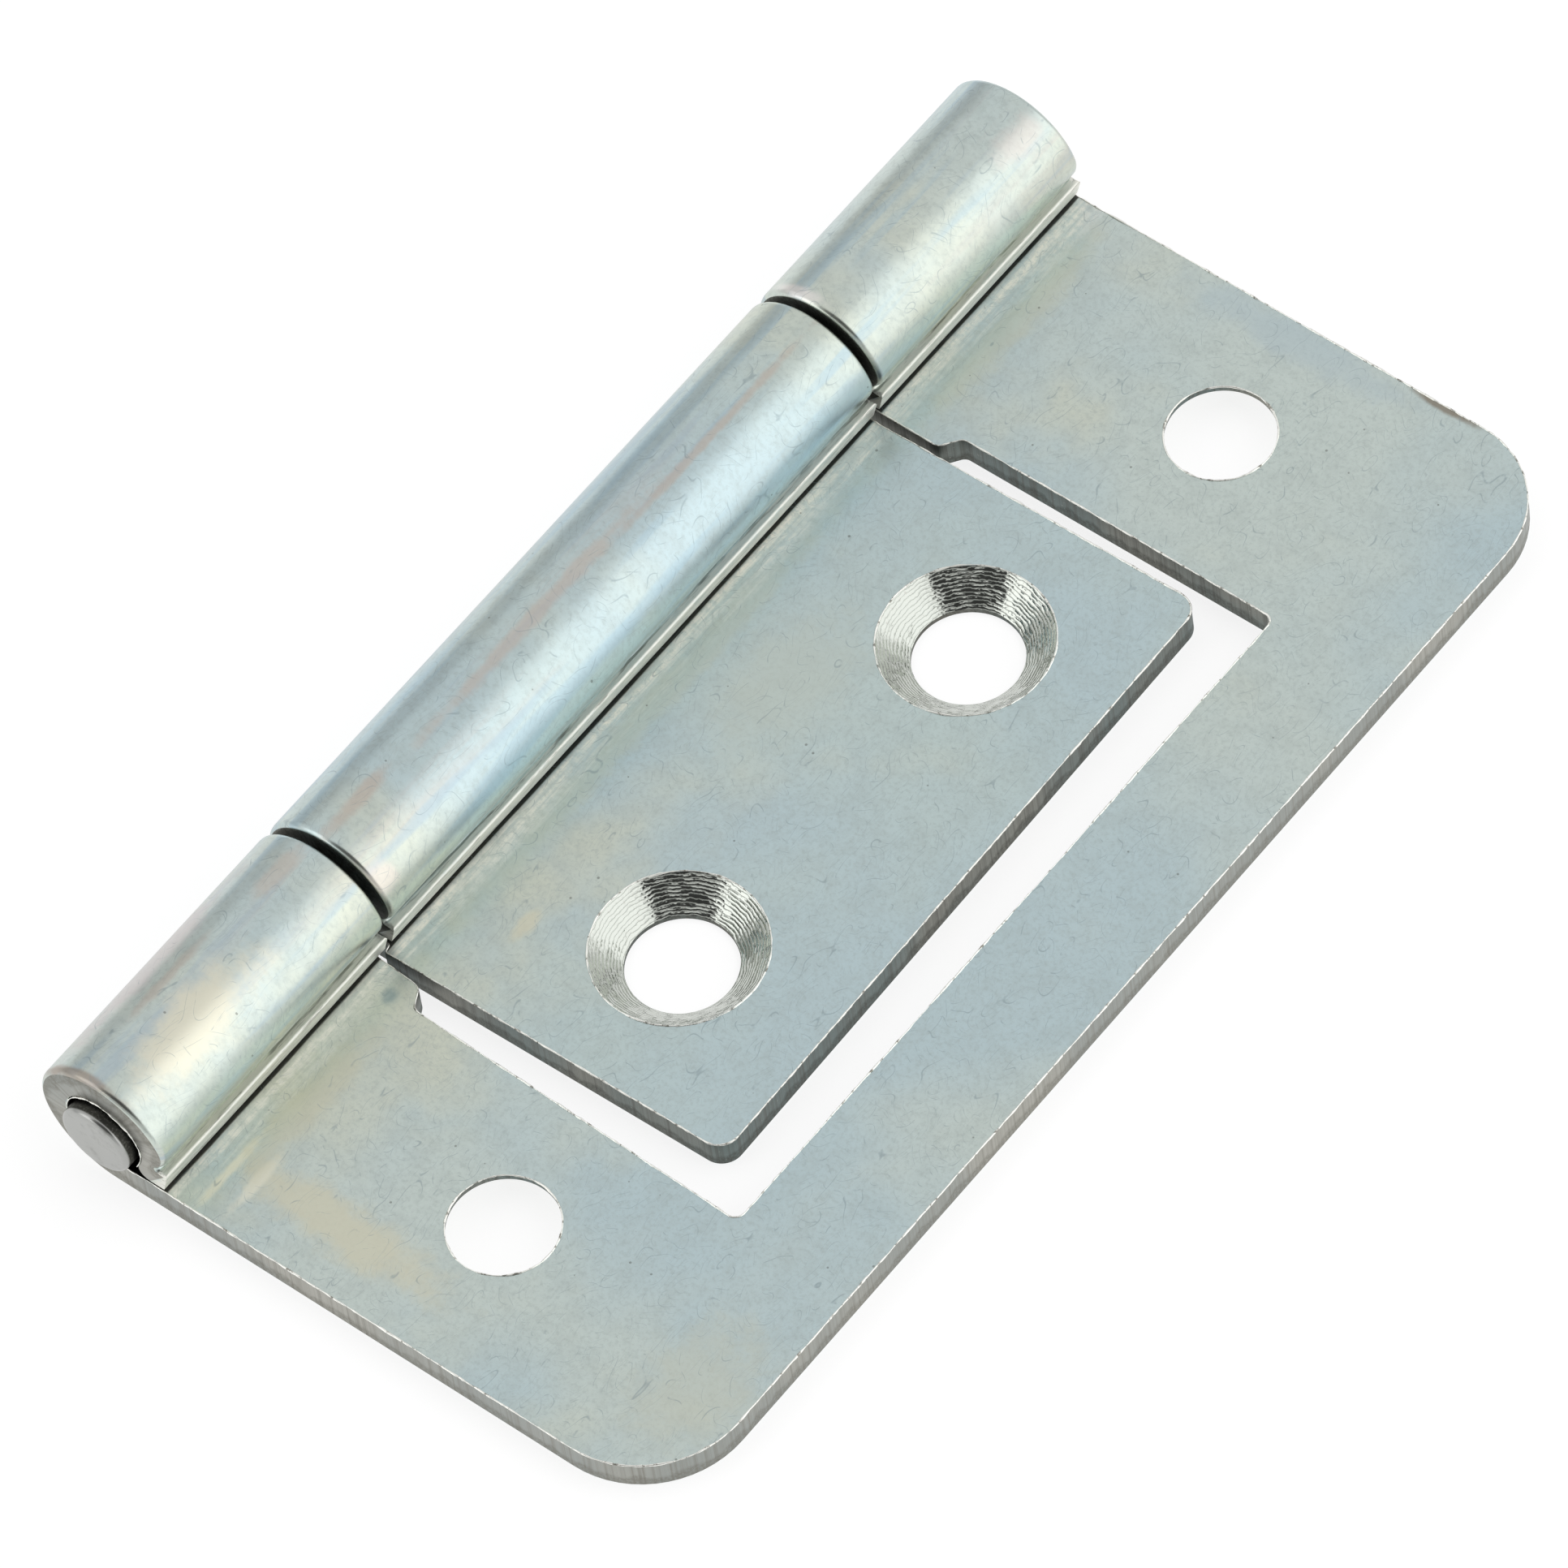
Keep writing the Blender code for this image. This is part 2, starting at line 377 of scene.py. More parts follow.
class Group(Wiring):
    """Node tree with named inputs and outputs: an effect that finishes share, or a shape."""

    def __init__(
        self, name: str, kind: str, inputs: dict[str, float | str], outputs: dict[str, str]
    ) -> None:
        """Make an empty tree.

        Args:
            name: Name of the tree.
            kind: Shader or Geometry.
            inputs: Start value of each number, or the kind of any other input.
            outputs: Kind of each output.
        """
        super().__init__(bpy.data.node_groups.new(name, kind + "NodeTree"))
        sockets = self.tree.interface
        for label, value in inputs.items():
            number = {int: "Int", float: "Float"}.get(type(value))
            socket = sockets.new_socket(label, in_out="INPUT", socket_type="NodeSocket" + (number or value))
            if number:
                socket.default_value = value
        for label, value in outputs.items():
            sockets.new_socket(label, in_out="OUTPUT", socket_type="NodeSocket" + value)
        self.given = self.add("NodeGroupInput")

    def close(self, **outputs: Signal) -> Tree:
        """Connect the tree's outputs, by their names."""
        self.add("NodeGroupOutput", outputs)
        return self.tree

    def close_shape(self, shape: Signal, material: Material) -> Tree:
        """Make a shape real, give it its material and put it out.

        Args:
            shape: The shape.
            material: Its material.

        Returns:
            The finished tree.
        """
        real = self.add("GeometryNodeRealizeInstances", {"Geometry": shape})[0]
        dressed = self.add("GeometryNodeSetMaterial", {"Geometry": real, "Material": material})[0]
        return self.close(Geometry=dressed)


def run_tree(item: Item, tree: Tree, values: dict[str, float]) -> None:
    """Run a shape's tree on an object and keep the result, with its faces outwards.

    Args:
        item: Object that gets the shape.
        tree: The shape's tree.
        values: Value of each input, by its name.
    """
    modifier = item.modifiers.new(tree.name, "NODES")
    modifier.node_group = tree
    for entry in tree.interface.items_tree:
        if entry.in_out == "INPUT" and entry.name in values:
            modifier[entry.identifier] = values[entry.name]
    bake_modifiers(item)
    work = bmesh.new()
    work.from_mesh(item.data)
    write_outwards(work, item.data)


@dataclass(frozen=True)
class SurfaceEffects:
    """Effects that the finishes share, each in a node group."""

    swirl_spacing: float = 26.0
    pit_scale: float = 1.5

    def hairlines(self) -> Tree:
        """Fine curved scratches, as handling leaves on bright plating.

        Returns:
            The group.
        """
        group = Group("hairlines", "Shader", {"Vector": "Vector"}, {"Mask": "Float"})
        masks = []
        for turn, offset in ((0.0, 0.0), (1.1, 40.0), (2.2, 90.0)):
            inputs = {"Location": (offset, offset / 2, 0.0), "Rotation": (0.0, 0.0, turn)}
            place = group.stretch(group.given["Vector"], (1.7, 0.85, 1.0), **inputs)
            rings = group.math("PINGPONG", group.noise(place, 0.16, 1.5, 0.6) * self.swirl_spacing, 0.5)
            broken = group.span(group.noise(place, 0.7, 3.0, 0.6), 0.5, 0.6)
            masks.append(group.span(rings, 0.0, 0.04, 1.0, 0.0) * broken)
        return group.close(Mask=group.math("MAXIMUM", group.math("MAXIMUM", masks[0], masks[1]), masks[2]))

    def pits(self) -> Tree:
        """Tiny scattered pits of uneven size; a higher share leaves more of them.

        Returns:
            The group.
        """
        group = Group("pits", "Shader", {"Vector": "Vector", "Share": 0.3}, {"Mask": "Float"})
        inputs = {"Vector": group.given["Vector"], "Scale": self.pit_scale, "Randomness": 1.0}
        cells = group.add("ShaderNodeTexVoronoi", inputs)
        size = group.add("ShaderNodeTexWhiteNoise", {"Vector": cells["Color"]})[0]
        chosen = group.math("GREATER_THAN", size + group.given["Share"], 1.0)
        reach = chosen * (group.math("POWER", size, 6.0) * 0.12)
        return group.close(Mask=group.span(reach - cells["Distance"], 0.0, 0.04))

    def shear_marks(self) -> Tree:
        """Upright drag lines that the shears leave on a cut edge, with a rough fracture band.

        Returns:
            The group.
        """
        inputs = {"Vector": "Vector", "Depth": 1.5}
        group = Group("shear_marks", "Shader", inputs, {"Lines": "Float", "Fracture": "Float"})
        s, y, depth = group.split(group.given["Vector"])
        flat = group.add("ShaderNodeCombineXYZ", {0: s, 1: y, 2: 0.0})[0]
        wander = group.noise(flat, 0.8, 3.0) * 0.9
        edge = depth / group.given["Depth"] + 1.0 + (wander - 0.45)
        lines = group.noise(flat, 5.0, 4.0, 0.7)
        return group.close(Lines=lines, Fracture=group.span(edge, 0.3, 0.5, 1.0, 0.0))

    def stain(self) -> Tree:
        """Soft patch round a place on the blank, with a wandering border.

        Returns:
            The group.
        """
        inputs = {"Vector": "Vector", "S": 0.0, "Y": 0.0, "Half S": 1.0, "Half Y": 1.0}
        group = Group("stain", "Shader", inputs, {"Mask": "Float"})
        given = group.given
        s, y, _depth = group.split(given["Vector"])
        across = (s - given["S"]) / given["Half S"]
        along = (y - given["Y"]) / given["Half Y"]
        wander = group.noise(given["Vector"], 0.55, 5.0, 0.65).scaled(1.5, -0.75)
        reach = group.math("SQRT", across * across + along * along) + wander
        return group.close(Mask=group.span(reach, 0.35, 1.15, 1.0, 0.0))

    def build(self) -> dict[str, Tree]:
        """All groups, by their names."""
        trees = (self.hairlines(), self.pits(), self.shear_marks(), self.stain())
        return {tree.name: tree for tree in trees}


class Metal(Wiring):
    """Nodes of a metal's material, whose patterns lie on the blank or on the piece."""

    def __init__(self, name: str, groups: dict[str, Tree] | None = None, source: str = "blank") -> None:
        """Start a metal.

        Args:
            name: Name of the material.
            groups: Node groups of the shared effects that it uses.
            source: Attribute that holds a point's place on its blank, or nothing to read the object's.
        """
        self.material = bpy.data.materials.new(name)
        self.material.use_nodes = True
        super().__init__(self.material.node_tree)
        self.groups = groups or {}
        if source:
            place = self.add("ShaderNodeAttribute", attribute_name=source)["Vector"]
        else:
            place = self.add("ShaderNodeTexCoord")["Object"]
        self.place = self.stretch(place, (1 / MM, 1 / MM, 1 / MM))

    def effect(self, name: str, **inputs: Signal | float) -> Outputs:
        """Place a shared effect, with its inputs by their names."""
        inputs = {label.replace("_", " "): value for label, value in inputs.items()}
        return self.add("ShaderNodeGroup", {"Vector": self.place, **inputs}, node_tree=self.groups[name])

    def finish(
        self, colour: Signal, rough: Signal, height: Signal, strength: float, depth: float
    ) -> Material:
        """Bump the surface and connect its patterns to the shader.

        Args:
            colour: Colour over the surface.
            rough: Roughness over the surface.
            height: Height over the surface, which is bumped.
            strength: Strength of the bump.
            depth: Depth of the bump in millimetres.

        Returns:
            The finished material.
        """
        inputs = {"Strength": strength, "Distance": depth * MM, "Height": height}
        normal = self.add("ShaderNodeBump", inputs)[0]
        patterns = {"Base Color": colour, "Roughness": rough, "Normal": normal}
        self.connect(self.tree.nodes["Principled BSDF"], {"Metallic": 1.0, **patterns})
        return self.material


@dataclass(frozen=True)
class Roll:
    """Section of a leaf's rolled end, from the flat sheet to the foot, about the pin's axis."""

    sheet: float = 1.5 * MM
    bore: float = 2.0 * MM
    neck_wall: float = 0.8 * MM
    shoulder_radius: float = 1.3 * MM
    notch_radius: float = 0.15 * MM
    foot_thickness: float = 1.25 * MM
    foot_lift: float = 0.1 * MM
    foot_setback: float = 0.15 * MM
    foot_lean: float = 0.35 * MM
    foot_steps: int = 8
    tip_radius: float = 0.55 * MM
    step: float = 3.0

    @property
    def barrel(self) -> float:
        """Outer radius of the knuckle."""
        return self.bore + self.sheet

    def stations(self) -> list[Station]:
        """Matching points on the inner and outer face of the sheet, from the flat to the foot's end.

        Returns:
            For each station its place s on the blank, which falls from 0, and its two points.
        """
        foot_bottom = self.foot_lift - self.bore
        foot_top = foot_bottom + self.foot_thickness
        foot_end = self.barrel - self.foot_setback

        notch_z = foot_top + self.notch_radius
        notch_distance = self.bore + self.neck_wall + self.notch_radius
        notch = Vector((math.sqrt(notch_distance**2 - notch_z**2), notch_z))
        to_shoulder = self.barrel - self.shoulder_radius
        between = self.shoulder_radius + self.notch_radius
        along = (to_shoulder**2 - between**2 + notch_distance**2) / (2 * notch_distance)
        outward = notch.normalized()
        shoulder = outward * along + Vector((-outward.y, outward.x)) * math.sqrt(to_shoulder**2 - along**2)
        meeting = notch - shoulder
        tip_z = foot_bottom + self.tip_radius
        tip = Vector((math.sqrt((self.bore + self.tip_radius) ** 2 - tip_z**2), tip_z))
        shoulder_start, shoulder_end, tip_angle, neck_angle = (
            math.degrees(math.atan2(arm.y, arm.x)) for arm in (shoulder, meeting, tip, notch)
        )

        turn = 270 - shoulder_start
        around = math.ceil(turn / self.step)
        axis = (0.0, 0.0)
        outer = arc(axis, self.barrel, -90, -90 - turn, around)
        inner = arc(axis, self.bore, -90, -90 - turn, around)
        outer += arc(tuple(shoulder), self.shoulder_radius, shoulder_start, shoulder_end, 12)[1:]
        inner += arc(axis, self.bore, shoulder_start, neck_angle, 12)[1:]
        outer += arc(tuple(notch), self.notch_radius, shoulder_end + 180, 270, 6)[1:]
        inner += arc(axis, self.bore, neck_angle, tip_angle, 6)[1:]
        outer += line((notch.x, foot_top), (foot_end, foot_top), self.foot_steps)[1:]
        inner += arc(tuple(tip), self.tip_radius, 180 + tip_angle, 270, self.foot_steps - 2)[1:]
        inner += line((tip.x, foot_bottom), (foot_end - self.foot_lean, foot_bottom), 2)[1:]

        middle = (self.bore + self.barrel) / 2
        places = [-middle * math.radians(turn) * index / around for index in range(around + 1)]
        for before, after in zip(outer[around:], outer[around + 1 :]):
            places.append(places[-1] - math.dist(before, after))
        return list(zip(places, inner, outer))

    def foot_start(self) -> float:
        """Place s where the notch runs out into the foot."""
        return self.stations()[-1 - self.foot_steps][0]

    def foot_end(self) -> float:
        """Place s where the foot ends."""
        return self.stations()[-1][0]

    def place(self, s: float, depth: float, stations: list[Station]) -> Point:
        """Roll a point of the blank.

        Args:
            s: Its place along the blank.
            depth: Its depth below the inner face.
            stations: The section's stations.

        Returns:
            Its place in the section, about the pin's axis.
        """
        if s >= 0:
            return (s, -self.bore - depth)
        share = depth / self.sheet
        index = 1
        while index < len(stations) - 1 and stations[index][0] > s:
            index += 1
        (s0, inner0, outer0), (s1, inner1, outer1) = stations[index - 1], stations[index]
        near = Vector(inner0).lerp(Vector(outer0), share)
        far = Vector(inner1).lerp(Vector(outer1), share)
        return tuple(near.lerp(far, (s - s0) / (s1 - s0)))


@dataclass(frozen=True)
class Stain:
    """Patch of another tint on a leaf, in millimetres on its blank."""

    s: float
    y: float
    half_s: float
    half_y: float
    colour: Colour
    strength: float

    def over(self, metal: Metal, colour: Signal) -> Signal:
        """Lay the stain over a metal's colour."""
        place = {"S": self.s, "Y": self.y, "Half_S": self.half_s, "Half_Y": self.half_y}
        return metal.mix(metal.effect("stain", **place)["Mask"] * self.strength, colour, self.colour)


def on_barrel(angle: float) -> float:
    """Place s in millimetres of a line on the barrel, by its angle above the leaf side."""
    return -2.75 * math.radians(270 - angle)


@dataclass(frozen=True)
class ZincSheet:
    """Bright zinc plating with a thin bluish passivation that yellows in patches."""

    name: str
    groups: dict[str, Tree]
    stains: tuple[Stain, ...]
    roll: Roll = Roll()
    base: Colour = (203, 214, 209)
    cool: Colour = (190, 208, 212)
    warm: Colour = (213, 215, 196)
    mottle: Colour = (168, 177, 174)
    speckle: Colour = (156, 167, 164)
    cyan: Colour = (158, 190, 208)
    rose: Colour = (196, 184, 176)
    # Painted light: the pale colour of the band beside the foot and of the highlight painted on the foot's
    # top.
    bright: Colour = (240, 240, 232)
    grime_and_contact_shade: Colour = (46, 45, 40)
    pitted: Colour = (96, 96, 90)
    scratch: Colour = (134, 150, 156)
    scored: Colour = (104, 104, 94)
    notch_line: Colour = (118, 120, 112)
    roughness: float = 0.3

    def build(self) -> Material:
        """Make the material: tints first, then what the press and handling left, with painted light beside
        the foot and on its top and painted shade under it.

        Returns:
            The material.
        """
        metal = Metal(self.name, self.groups)
        place = metal.place
        s, _y, depth = metal.split(place)
        along = metal.stretch(place, (1.0, 0.05, 1.0))
        bands = metal.noise(along, 0.9, 4.0, 0.6)
        rolled = metal.span(s, 5.0, 2.0)
        colour = metal.mix(metal.span(bands, 0.5, 0.68) * rolled * 0.35, self.clouds(metal), self.rose)
        lines = metal.span(metal.noise(along, 1.8, 2.0, 0.5), 0.5, 0.7) * metal.span(s, 0.0, -4.0)
        colour = metal.mix(lines * 0.4, colour, self.cyan)
        for stain in self.stains:
            colour = stain.over(metal, colour)

        # Painted light: a pale, rougher band on the flat beside the foot. It is partly the worked metal of
        # the bend and partly painted light that lifts the shade and dark reflection there.
        painted_light_band = metal.span(s, 5.2, 3.4) * metal.span(s, 1.0, 2.5)
        band_breakup = metal.span(metal.noise(along, 1.6, 4.0, 0.7), 0.38, 0.66)
        broken = metal.span(metal.noise(place, 2.2, 4.0, 0.75), 0.35, 0.6, 0.3, 1.0)
        colour = metal.mix(painted_light_band * band_breakup * broken, colour, self.bright)
        # Painted shade and grime: the top face under the foot is darkened up to a wavy line by the foot's
        # end.
        border = metal.noise(along, 1.2, 4.0, 0.7).scaled(0.26, 2.98)
        on_flat = metal.span(depth, -0.3, -0.1) * metal.span(s, 0.0, 0.5)
        colour = metal.mix(metal.span(s - border, 0.05, -0.03) * on_flat * 0.9, colour, self.grime_and_contact_shade)
        pitted = (metal.span(s, 6.5, 4.0) * metal.span(s, 2.0, 3.0)).scaled(0.35, 0.12)
        pit = metal.effect("pits", Share=pitted)["Mask"]
        colour = metal.mix(pit * 0.55, colour, self.pitted)
        hair = metal.effect("hairlines")["Mask"]
        colour = metal.mix(hair * 0.5, colour, self.scratch)

        foot, notch_line = self.foot_marks(metal, s, depth)
        # Painted highlight: the foot's top is painted near white.
        colour = metal.mix(foot, colour, self.bright)
        scored = metal.span(metal.noise(along, 6.0, 4.0, 0.8), 0.54, 0.66)
        colour = metal.mix(scored * foot * 0.6, colour, self.scored)
        # A darker broken line along the notch, with a groove bumped in.
        colour = metal.mix(notch_line * 0.75, colour, self.notch_line)

        grain = metal.noise(place, 5.0, 3.0, 0.6)
        broad = metal.noise(place, 0.35, 2.0, 0.5)
        rough = grain.scaled(0.05, self.roughness - 0.02) + foot * 0.25 + painted_light_band * 0.22
        height = grain * 0.12 + bands * rolled * 0.5 + broad * 0.6 - hair * 0.12 - pit * 0.4
        height = height + grain * foot * 2.5 - notch_line * 1.5
        return metal.finish(colour, rough, height, 0.5, 0.01)

    def clouds(self, metal: Metal) -> Signal:
        """Broad clouds of cool and warm tint, with a faint fine mottling.

        Args:
            metal: The material's nodes.

        Returns:
            The colour.
        """
        shifted = metal.stretch(metal.place, (1.0, 1.0, 1.0), Location=(31.0, 17.0, 5.0))
        cooled = metal.span(metal.noise(metal.place, 0.06, 3.0, 0.5), 0.38, 0.62)
        colour = metal.mix(cooled, self.base, self.cool)
        patches = metal.span(metal.noise(shifted, 0.085, 4.0, 0.55), 0.48, 0.72)
        colour = metal.mix(patches * 0.8, colour, self.warm)
        mottled = metal.span(metal.noise(shifted, 1.1, 5.0, 0.75), 0.38, 0.68)
        colour = metal.mix(mottled * 0.25, colour, self.mottle)
        speckled = metal.span(metal.noise(metal.place, 4.5, 3.0, 0.7), 0.46, 0.66)
        return metal.mix(speckled * 0.24, colour, self.speckle)

    def foot_marks(self, metal: Metal, s: Signal, depth: Signal) -> tuple[Signal, Signal]:
        """Where the sheet is pinched into the foot: a scored top painted near white as a highlight, and a
        darker broken line along the notch.

        Args:
            metal: The material's nodes.
            s: Place along the blank.
            depth: Height above its inner face, below 0.

        Returns:
            Masks of the scored foot and of the torn line.
        """
        start, end = self.roll.foot_start() / MM, self.roll.foot_end() / MM
        outer = metal.math("MAXIMUM", metal.span(depth, -1.25, -1.4), metal.span(s, end + 0.12, end + 0.05))
        along = metal.stretch(metal.place, (3.0, 0.35, 1.0))
        scored = metal.span(metal.noise(along, 2.2, 5.0, 0.75), 0.28, 0.52, 0.45, 1.0)
        foot = outer * metal.span(s, start + 0.06, start - 0.06) * scored
        wander = metal.noise(along, 0.5, 4.0, 0.7).scaled(0.5, -0.25)
        off = metal.math("ABSOLUTE", s + wander - start)
        broken = metal.span(metal.noise(along, 0.9, 3.0, 0.7), 0.42, 0.6)
        return foot, outer * metal.span(off, 0.03, 0.11, 1.0, 0.0) * broken


@dataclass(frozen=True)
class ShearedEdge:
    """Cut wall of the sheet, plated over its shear marks."""

    name: str
    groups: dict[str, Tree]
    base: Colour = (176, 175, 167)
    dark: Colour = (132, 130, 121)
    tint: Colour = (160, 164, 160)
    speck: Colour = (222, 222, 214)
    roughness: float = 0.4

    def build(self) -> Material:
        """Make the material.

        Returns:
            The material.
        """
        metal = Metal(self.name, self.groups)
        marks = metal.effect("shear_marks")
        lines, fracture = marks["Lines"], marks["Fracture"]
        grain = metal.noise(metal.place, 7.0, 4.0, 0.7)
        colour = metal.mix(metal.span(metal.noise(metal.place, 0.12), 0.4, 0.6), self.base, self.tint)
        colour = metal.mix(metal.span(lines, 0.4, 0.7) * 0.7, colour, self.dark)
        colour = metal.mix(fracture * metal.span(grain, 0.35, 0.65, 0.1, 0.7), colour, self.dark)
        specks = metal.span(metal.noise(metal.place, 4.5, 3.0, 0.8), 0.66, 0.76)
        colour = metal.mix(specks * 0.5, colour, self.speck)
        height = lines + grain * fracture * 1.2
        return metal.finish(colour, fracture.scaled(0.12, self.roughness), height, 0.6, 0.03)


@dataclass(frozen=True)
class TurnedSink:
    """Countersink face as the cutter leaves it, plated bright."""

    name: str
    base: Colour = (198, 202, 195)
    dark: Colour = (150, 142, 134)
    rings_per_mm: float = 8.5

    def build(self) -> Material:
        """Make the material.

        Returns:
            The material.
        """
        metal = Metal(self.name)
        place = metal.place
        grain = metal.noise(place, 5.0, 3.0, 0.7)
        level = (metal.split(place)[2] + metal.noise(place, 1.3, 3.0, 0.6) * 0.22) * self.rings_per_mm
        rings = metal.math("PINGPONG", level, 0.5)
        colour = metal.mix(metal.span(grain, 0.58, 0.95), self.base, self.dark)
        rough = metal.span(rings, 0.3, 0.46).scaled(0.45, 0.1)
        height = rings * metal.span(metal.noise(place, 1.7, 2.0, 0.6), 0.3, 0.6, 0.5, 2.0) + grain * 0.04
        return metal.finish(colour, rough, height, 0.65, 0.02)


@dataclass(frozen=True)
class BurrMetal:
    """Bare metal along a sheared edge, its colour raised near white: partly the bead's bright metal, partly
    a painted highlight.
    """

    name: str
    # Painted highlight: the base is lifted near white so that the bead reads as a bright line.
    base: Colour = (250, 250, 244)
    dark: Colour = (150, 148, 140)

    def build(self) -> Material:
        """Make the material.

        Returns:
            The material.
        """
        metal = Metal(self.name)
        grain = metal.noise(metal.place, 2.6, 3.0, 0.7)
        colour = metal.mix(metal.span(grain, 0.52, 0.66), self.base, self.dark)
        return metal.finish(colour, grain.scaled(0.2, 0.25), grain, 0.4, 0.01)


@dataclass(frozen=True)
class PinSteel:
    """Drawn wire whose side is painted dark, partly its own dark finish and partly painted shade of the gap
    round its ends; its cropped end is plated pale.
    """

    name: str
    straight: float = 31.86
    base: Colour = (174, 175, 172)
    dark: Colour = (132, 132, 127)
    # Side colour: partly the wire's dark finish, partly painted shade of the gap round the pin's end.
    side: Colour = (74, 74, 70)
    speck: Colour = (118, 118, 112)

    def build(self) -> Material:
        """Make the material.

        Returns:
            The material.
        """
        metal = Metal(self.name, source="")
        spots = metal.noise(metal.place, 1.3, 4.0, 0.65)
        grain = metal.noise(metal.place, 9.0, 3.0, 0.7)
        face = metal.mix(metal.span(spots, 0.5, 0.75) * 0.5, self.base, self.dark)
        # Painted shade: the side is near black, for the shade in the gap between the pin's end and the bore
        # as well as the wire's dark finish.
        drawn = metal.mix(metal.span(grain, 0.45, 0.75), self.side, self.speck)
        from_middle = metal.math("ABSOLUTE", metal.split(metal.place)[1])
        end = metal.span(from_middle, self.straight - 0.04, self.straight + 0.04)
        height = spots * 0.5 + grain * 0.25
        return metal.finish(metal.mix(end, drawn, face), end.scaled(-0.1, 0.4), height, 0.4, 0.015)


@dataclass(frozen=True)
class SinkCutter:
    """Countersinking cutter with the fine rings that it turns into the sheet."""

    sheet: float = 1.5 * MM
    hole_radius: float = 2.5 * MM
    head_radius: float = 3.95 * MM
    overrun: float = 0.1 * MM
    rings: int = 13
    ring_depth: float = 0.012 * MM
    lobes: float = 7.0
    lobe_depth: float = 0.04 * MM
    steps_around: int = 120

    def sizes(self, land: float) -> dict[str, float]:
        """Sizes that the cutter's tree takes.

        Args:
            land: Height of the straight part of the hole.

        Returns:
            Value of each input of the tree, by its name.
        """
        flare = (self.head_radius - self.hole_radius) / (self.sheet - land)
        return {
            "Hole Radius": self.hole_radius,
            "Mouth Radius": self.head_radius + flare * self.overrun,
            "Sheet": self.sheet,
            "Land": land,
            "Overrun": self.overrun,
            "Ring Depth": self.ring_depth,
            "Lobes": self.lobes,
            "Lobe Depth": self.lobe_depth,
            "Rings": self.rings,
            "Steps Around": self.steps_around,
        }

    def tree(self, material: Material) -> Tree:
        """Tree that turns the cutter's profile round its axis, ring after ring.

        The profile's rows are a closed tip, the straight part, two rows for each ring of the cone,
        a run beyond the sheet and a closed top.

        Args:
            material: Material of the turned faces.

        Returns:
            The tree, whose inputs are the cutter's sizes.
        """
        group = Group("sink_cutter", "Geometry", self.sizes(0.0), {"Geometry": "Geometry"})
        given, calculate = group.given, group.math
        cone = given["Rings"] * 2.0
        rows = cone + 5.0
        counts = {"Vertices X": given["Steps Around"] + 1.0, "Vertices Y": rows}
        grid = group.add("GeometryNodeMeshGrid", {"Size X": 1.0, "Size Y": 1.0, **counts})[0]
        x, y, _z = group.split(group.add("GeometryNodeInputPosition")[0])
        angle = (x + 0.5) * math.tau
        last = rows - 1.0
        row = calculate("ROUND", (y + 0.5) * last)
        on_cone = calculate("DIVIDE", row - 2.0, cone, clamp=True)
        radius = given["Hole Radius"] + (given["Mouth Radius"] - given["Hole Radius"]) * on_cone
        ridge = (calculate("MODULO", row, 2.0) - 0.5) * given["Ring Depth"]
        inside = calculate("GREATER_THAN", on_cone, 0.0) * calculate("LESS_THAN", on_cone, 1.0)
        lobe = calculate("COSINE", angle * given["Lobes"]) * given["Lobe Depth"]
        radius = radius + ridge * inside + lobe * on_cone
        radius = radius * (calculate("GREATER_THAN", row, 0.5) * calculate("LESS_THAN", row, last - 0.5))
        up_land = (given["Land"] + given["Sheet"]) * calculate("SUBTRACT", row, 1.0, clamp=True)
        up_cone = (given["Sheet"] - given["Land"] + given["Overrun"]) * on_cone
        beyond = given["Sheet"] * calculate("SUBTRACT", row, cone + 2.0, clamp=True)
        height = up_land + up_cone - given["Sheet"] * 2.0 + beyond
        place = {0: radius * calculate("COSINE", angle), 1: radius * calculate("SINE", angle), 2: height}
        moved = {"Geometry": grid, "Position": group.add("ShaderNodeCombineXYZ", place)[0]}
        turned = group.add("GeometryNodeSetPosition", moved)[0]
        closed = group.add("GeometryNodeMergeByDistance", {"Geometry": turned, "Distance": JOIN})[0]
        return group.close_shape(closed, material)

    def build(self, name: str, tree: Tree, place: Point, land: float, opening: Opening) -> Item:
        """Make a cutter at a hole.

        Args:
            name: Name of the cutter.
            tree: The cutter's tree.
            place: Hole's place on the blank.
            land: Height of the straight part of the hole.
            opening: Side that the countersink opens to.

        Returns:
            The cutter, in the blank's axes.
        """
        cutter = add_object(name, bpy.data.meshes.new(name))
        run_tree(cutter, tree, self.sizes(land))
        if opening is Opening.DOWNWARDS:
            cutter.data.transform(Matrix.Translation((0, 0, -self.sheet)) @ Matrix.Diagonal((1, 1, -1, 1)))
            cutter.data.flip_normals()
        cutter.data.transform(Matrix.Translation((*place, 0)))
        return cutter


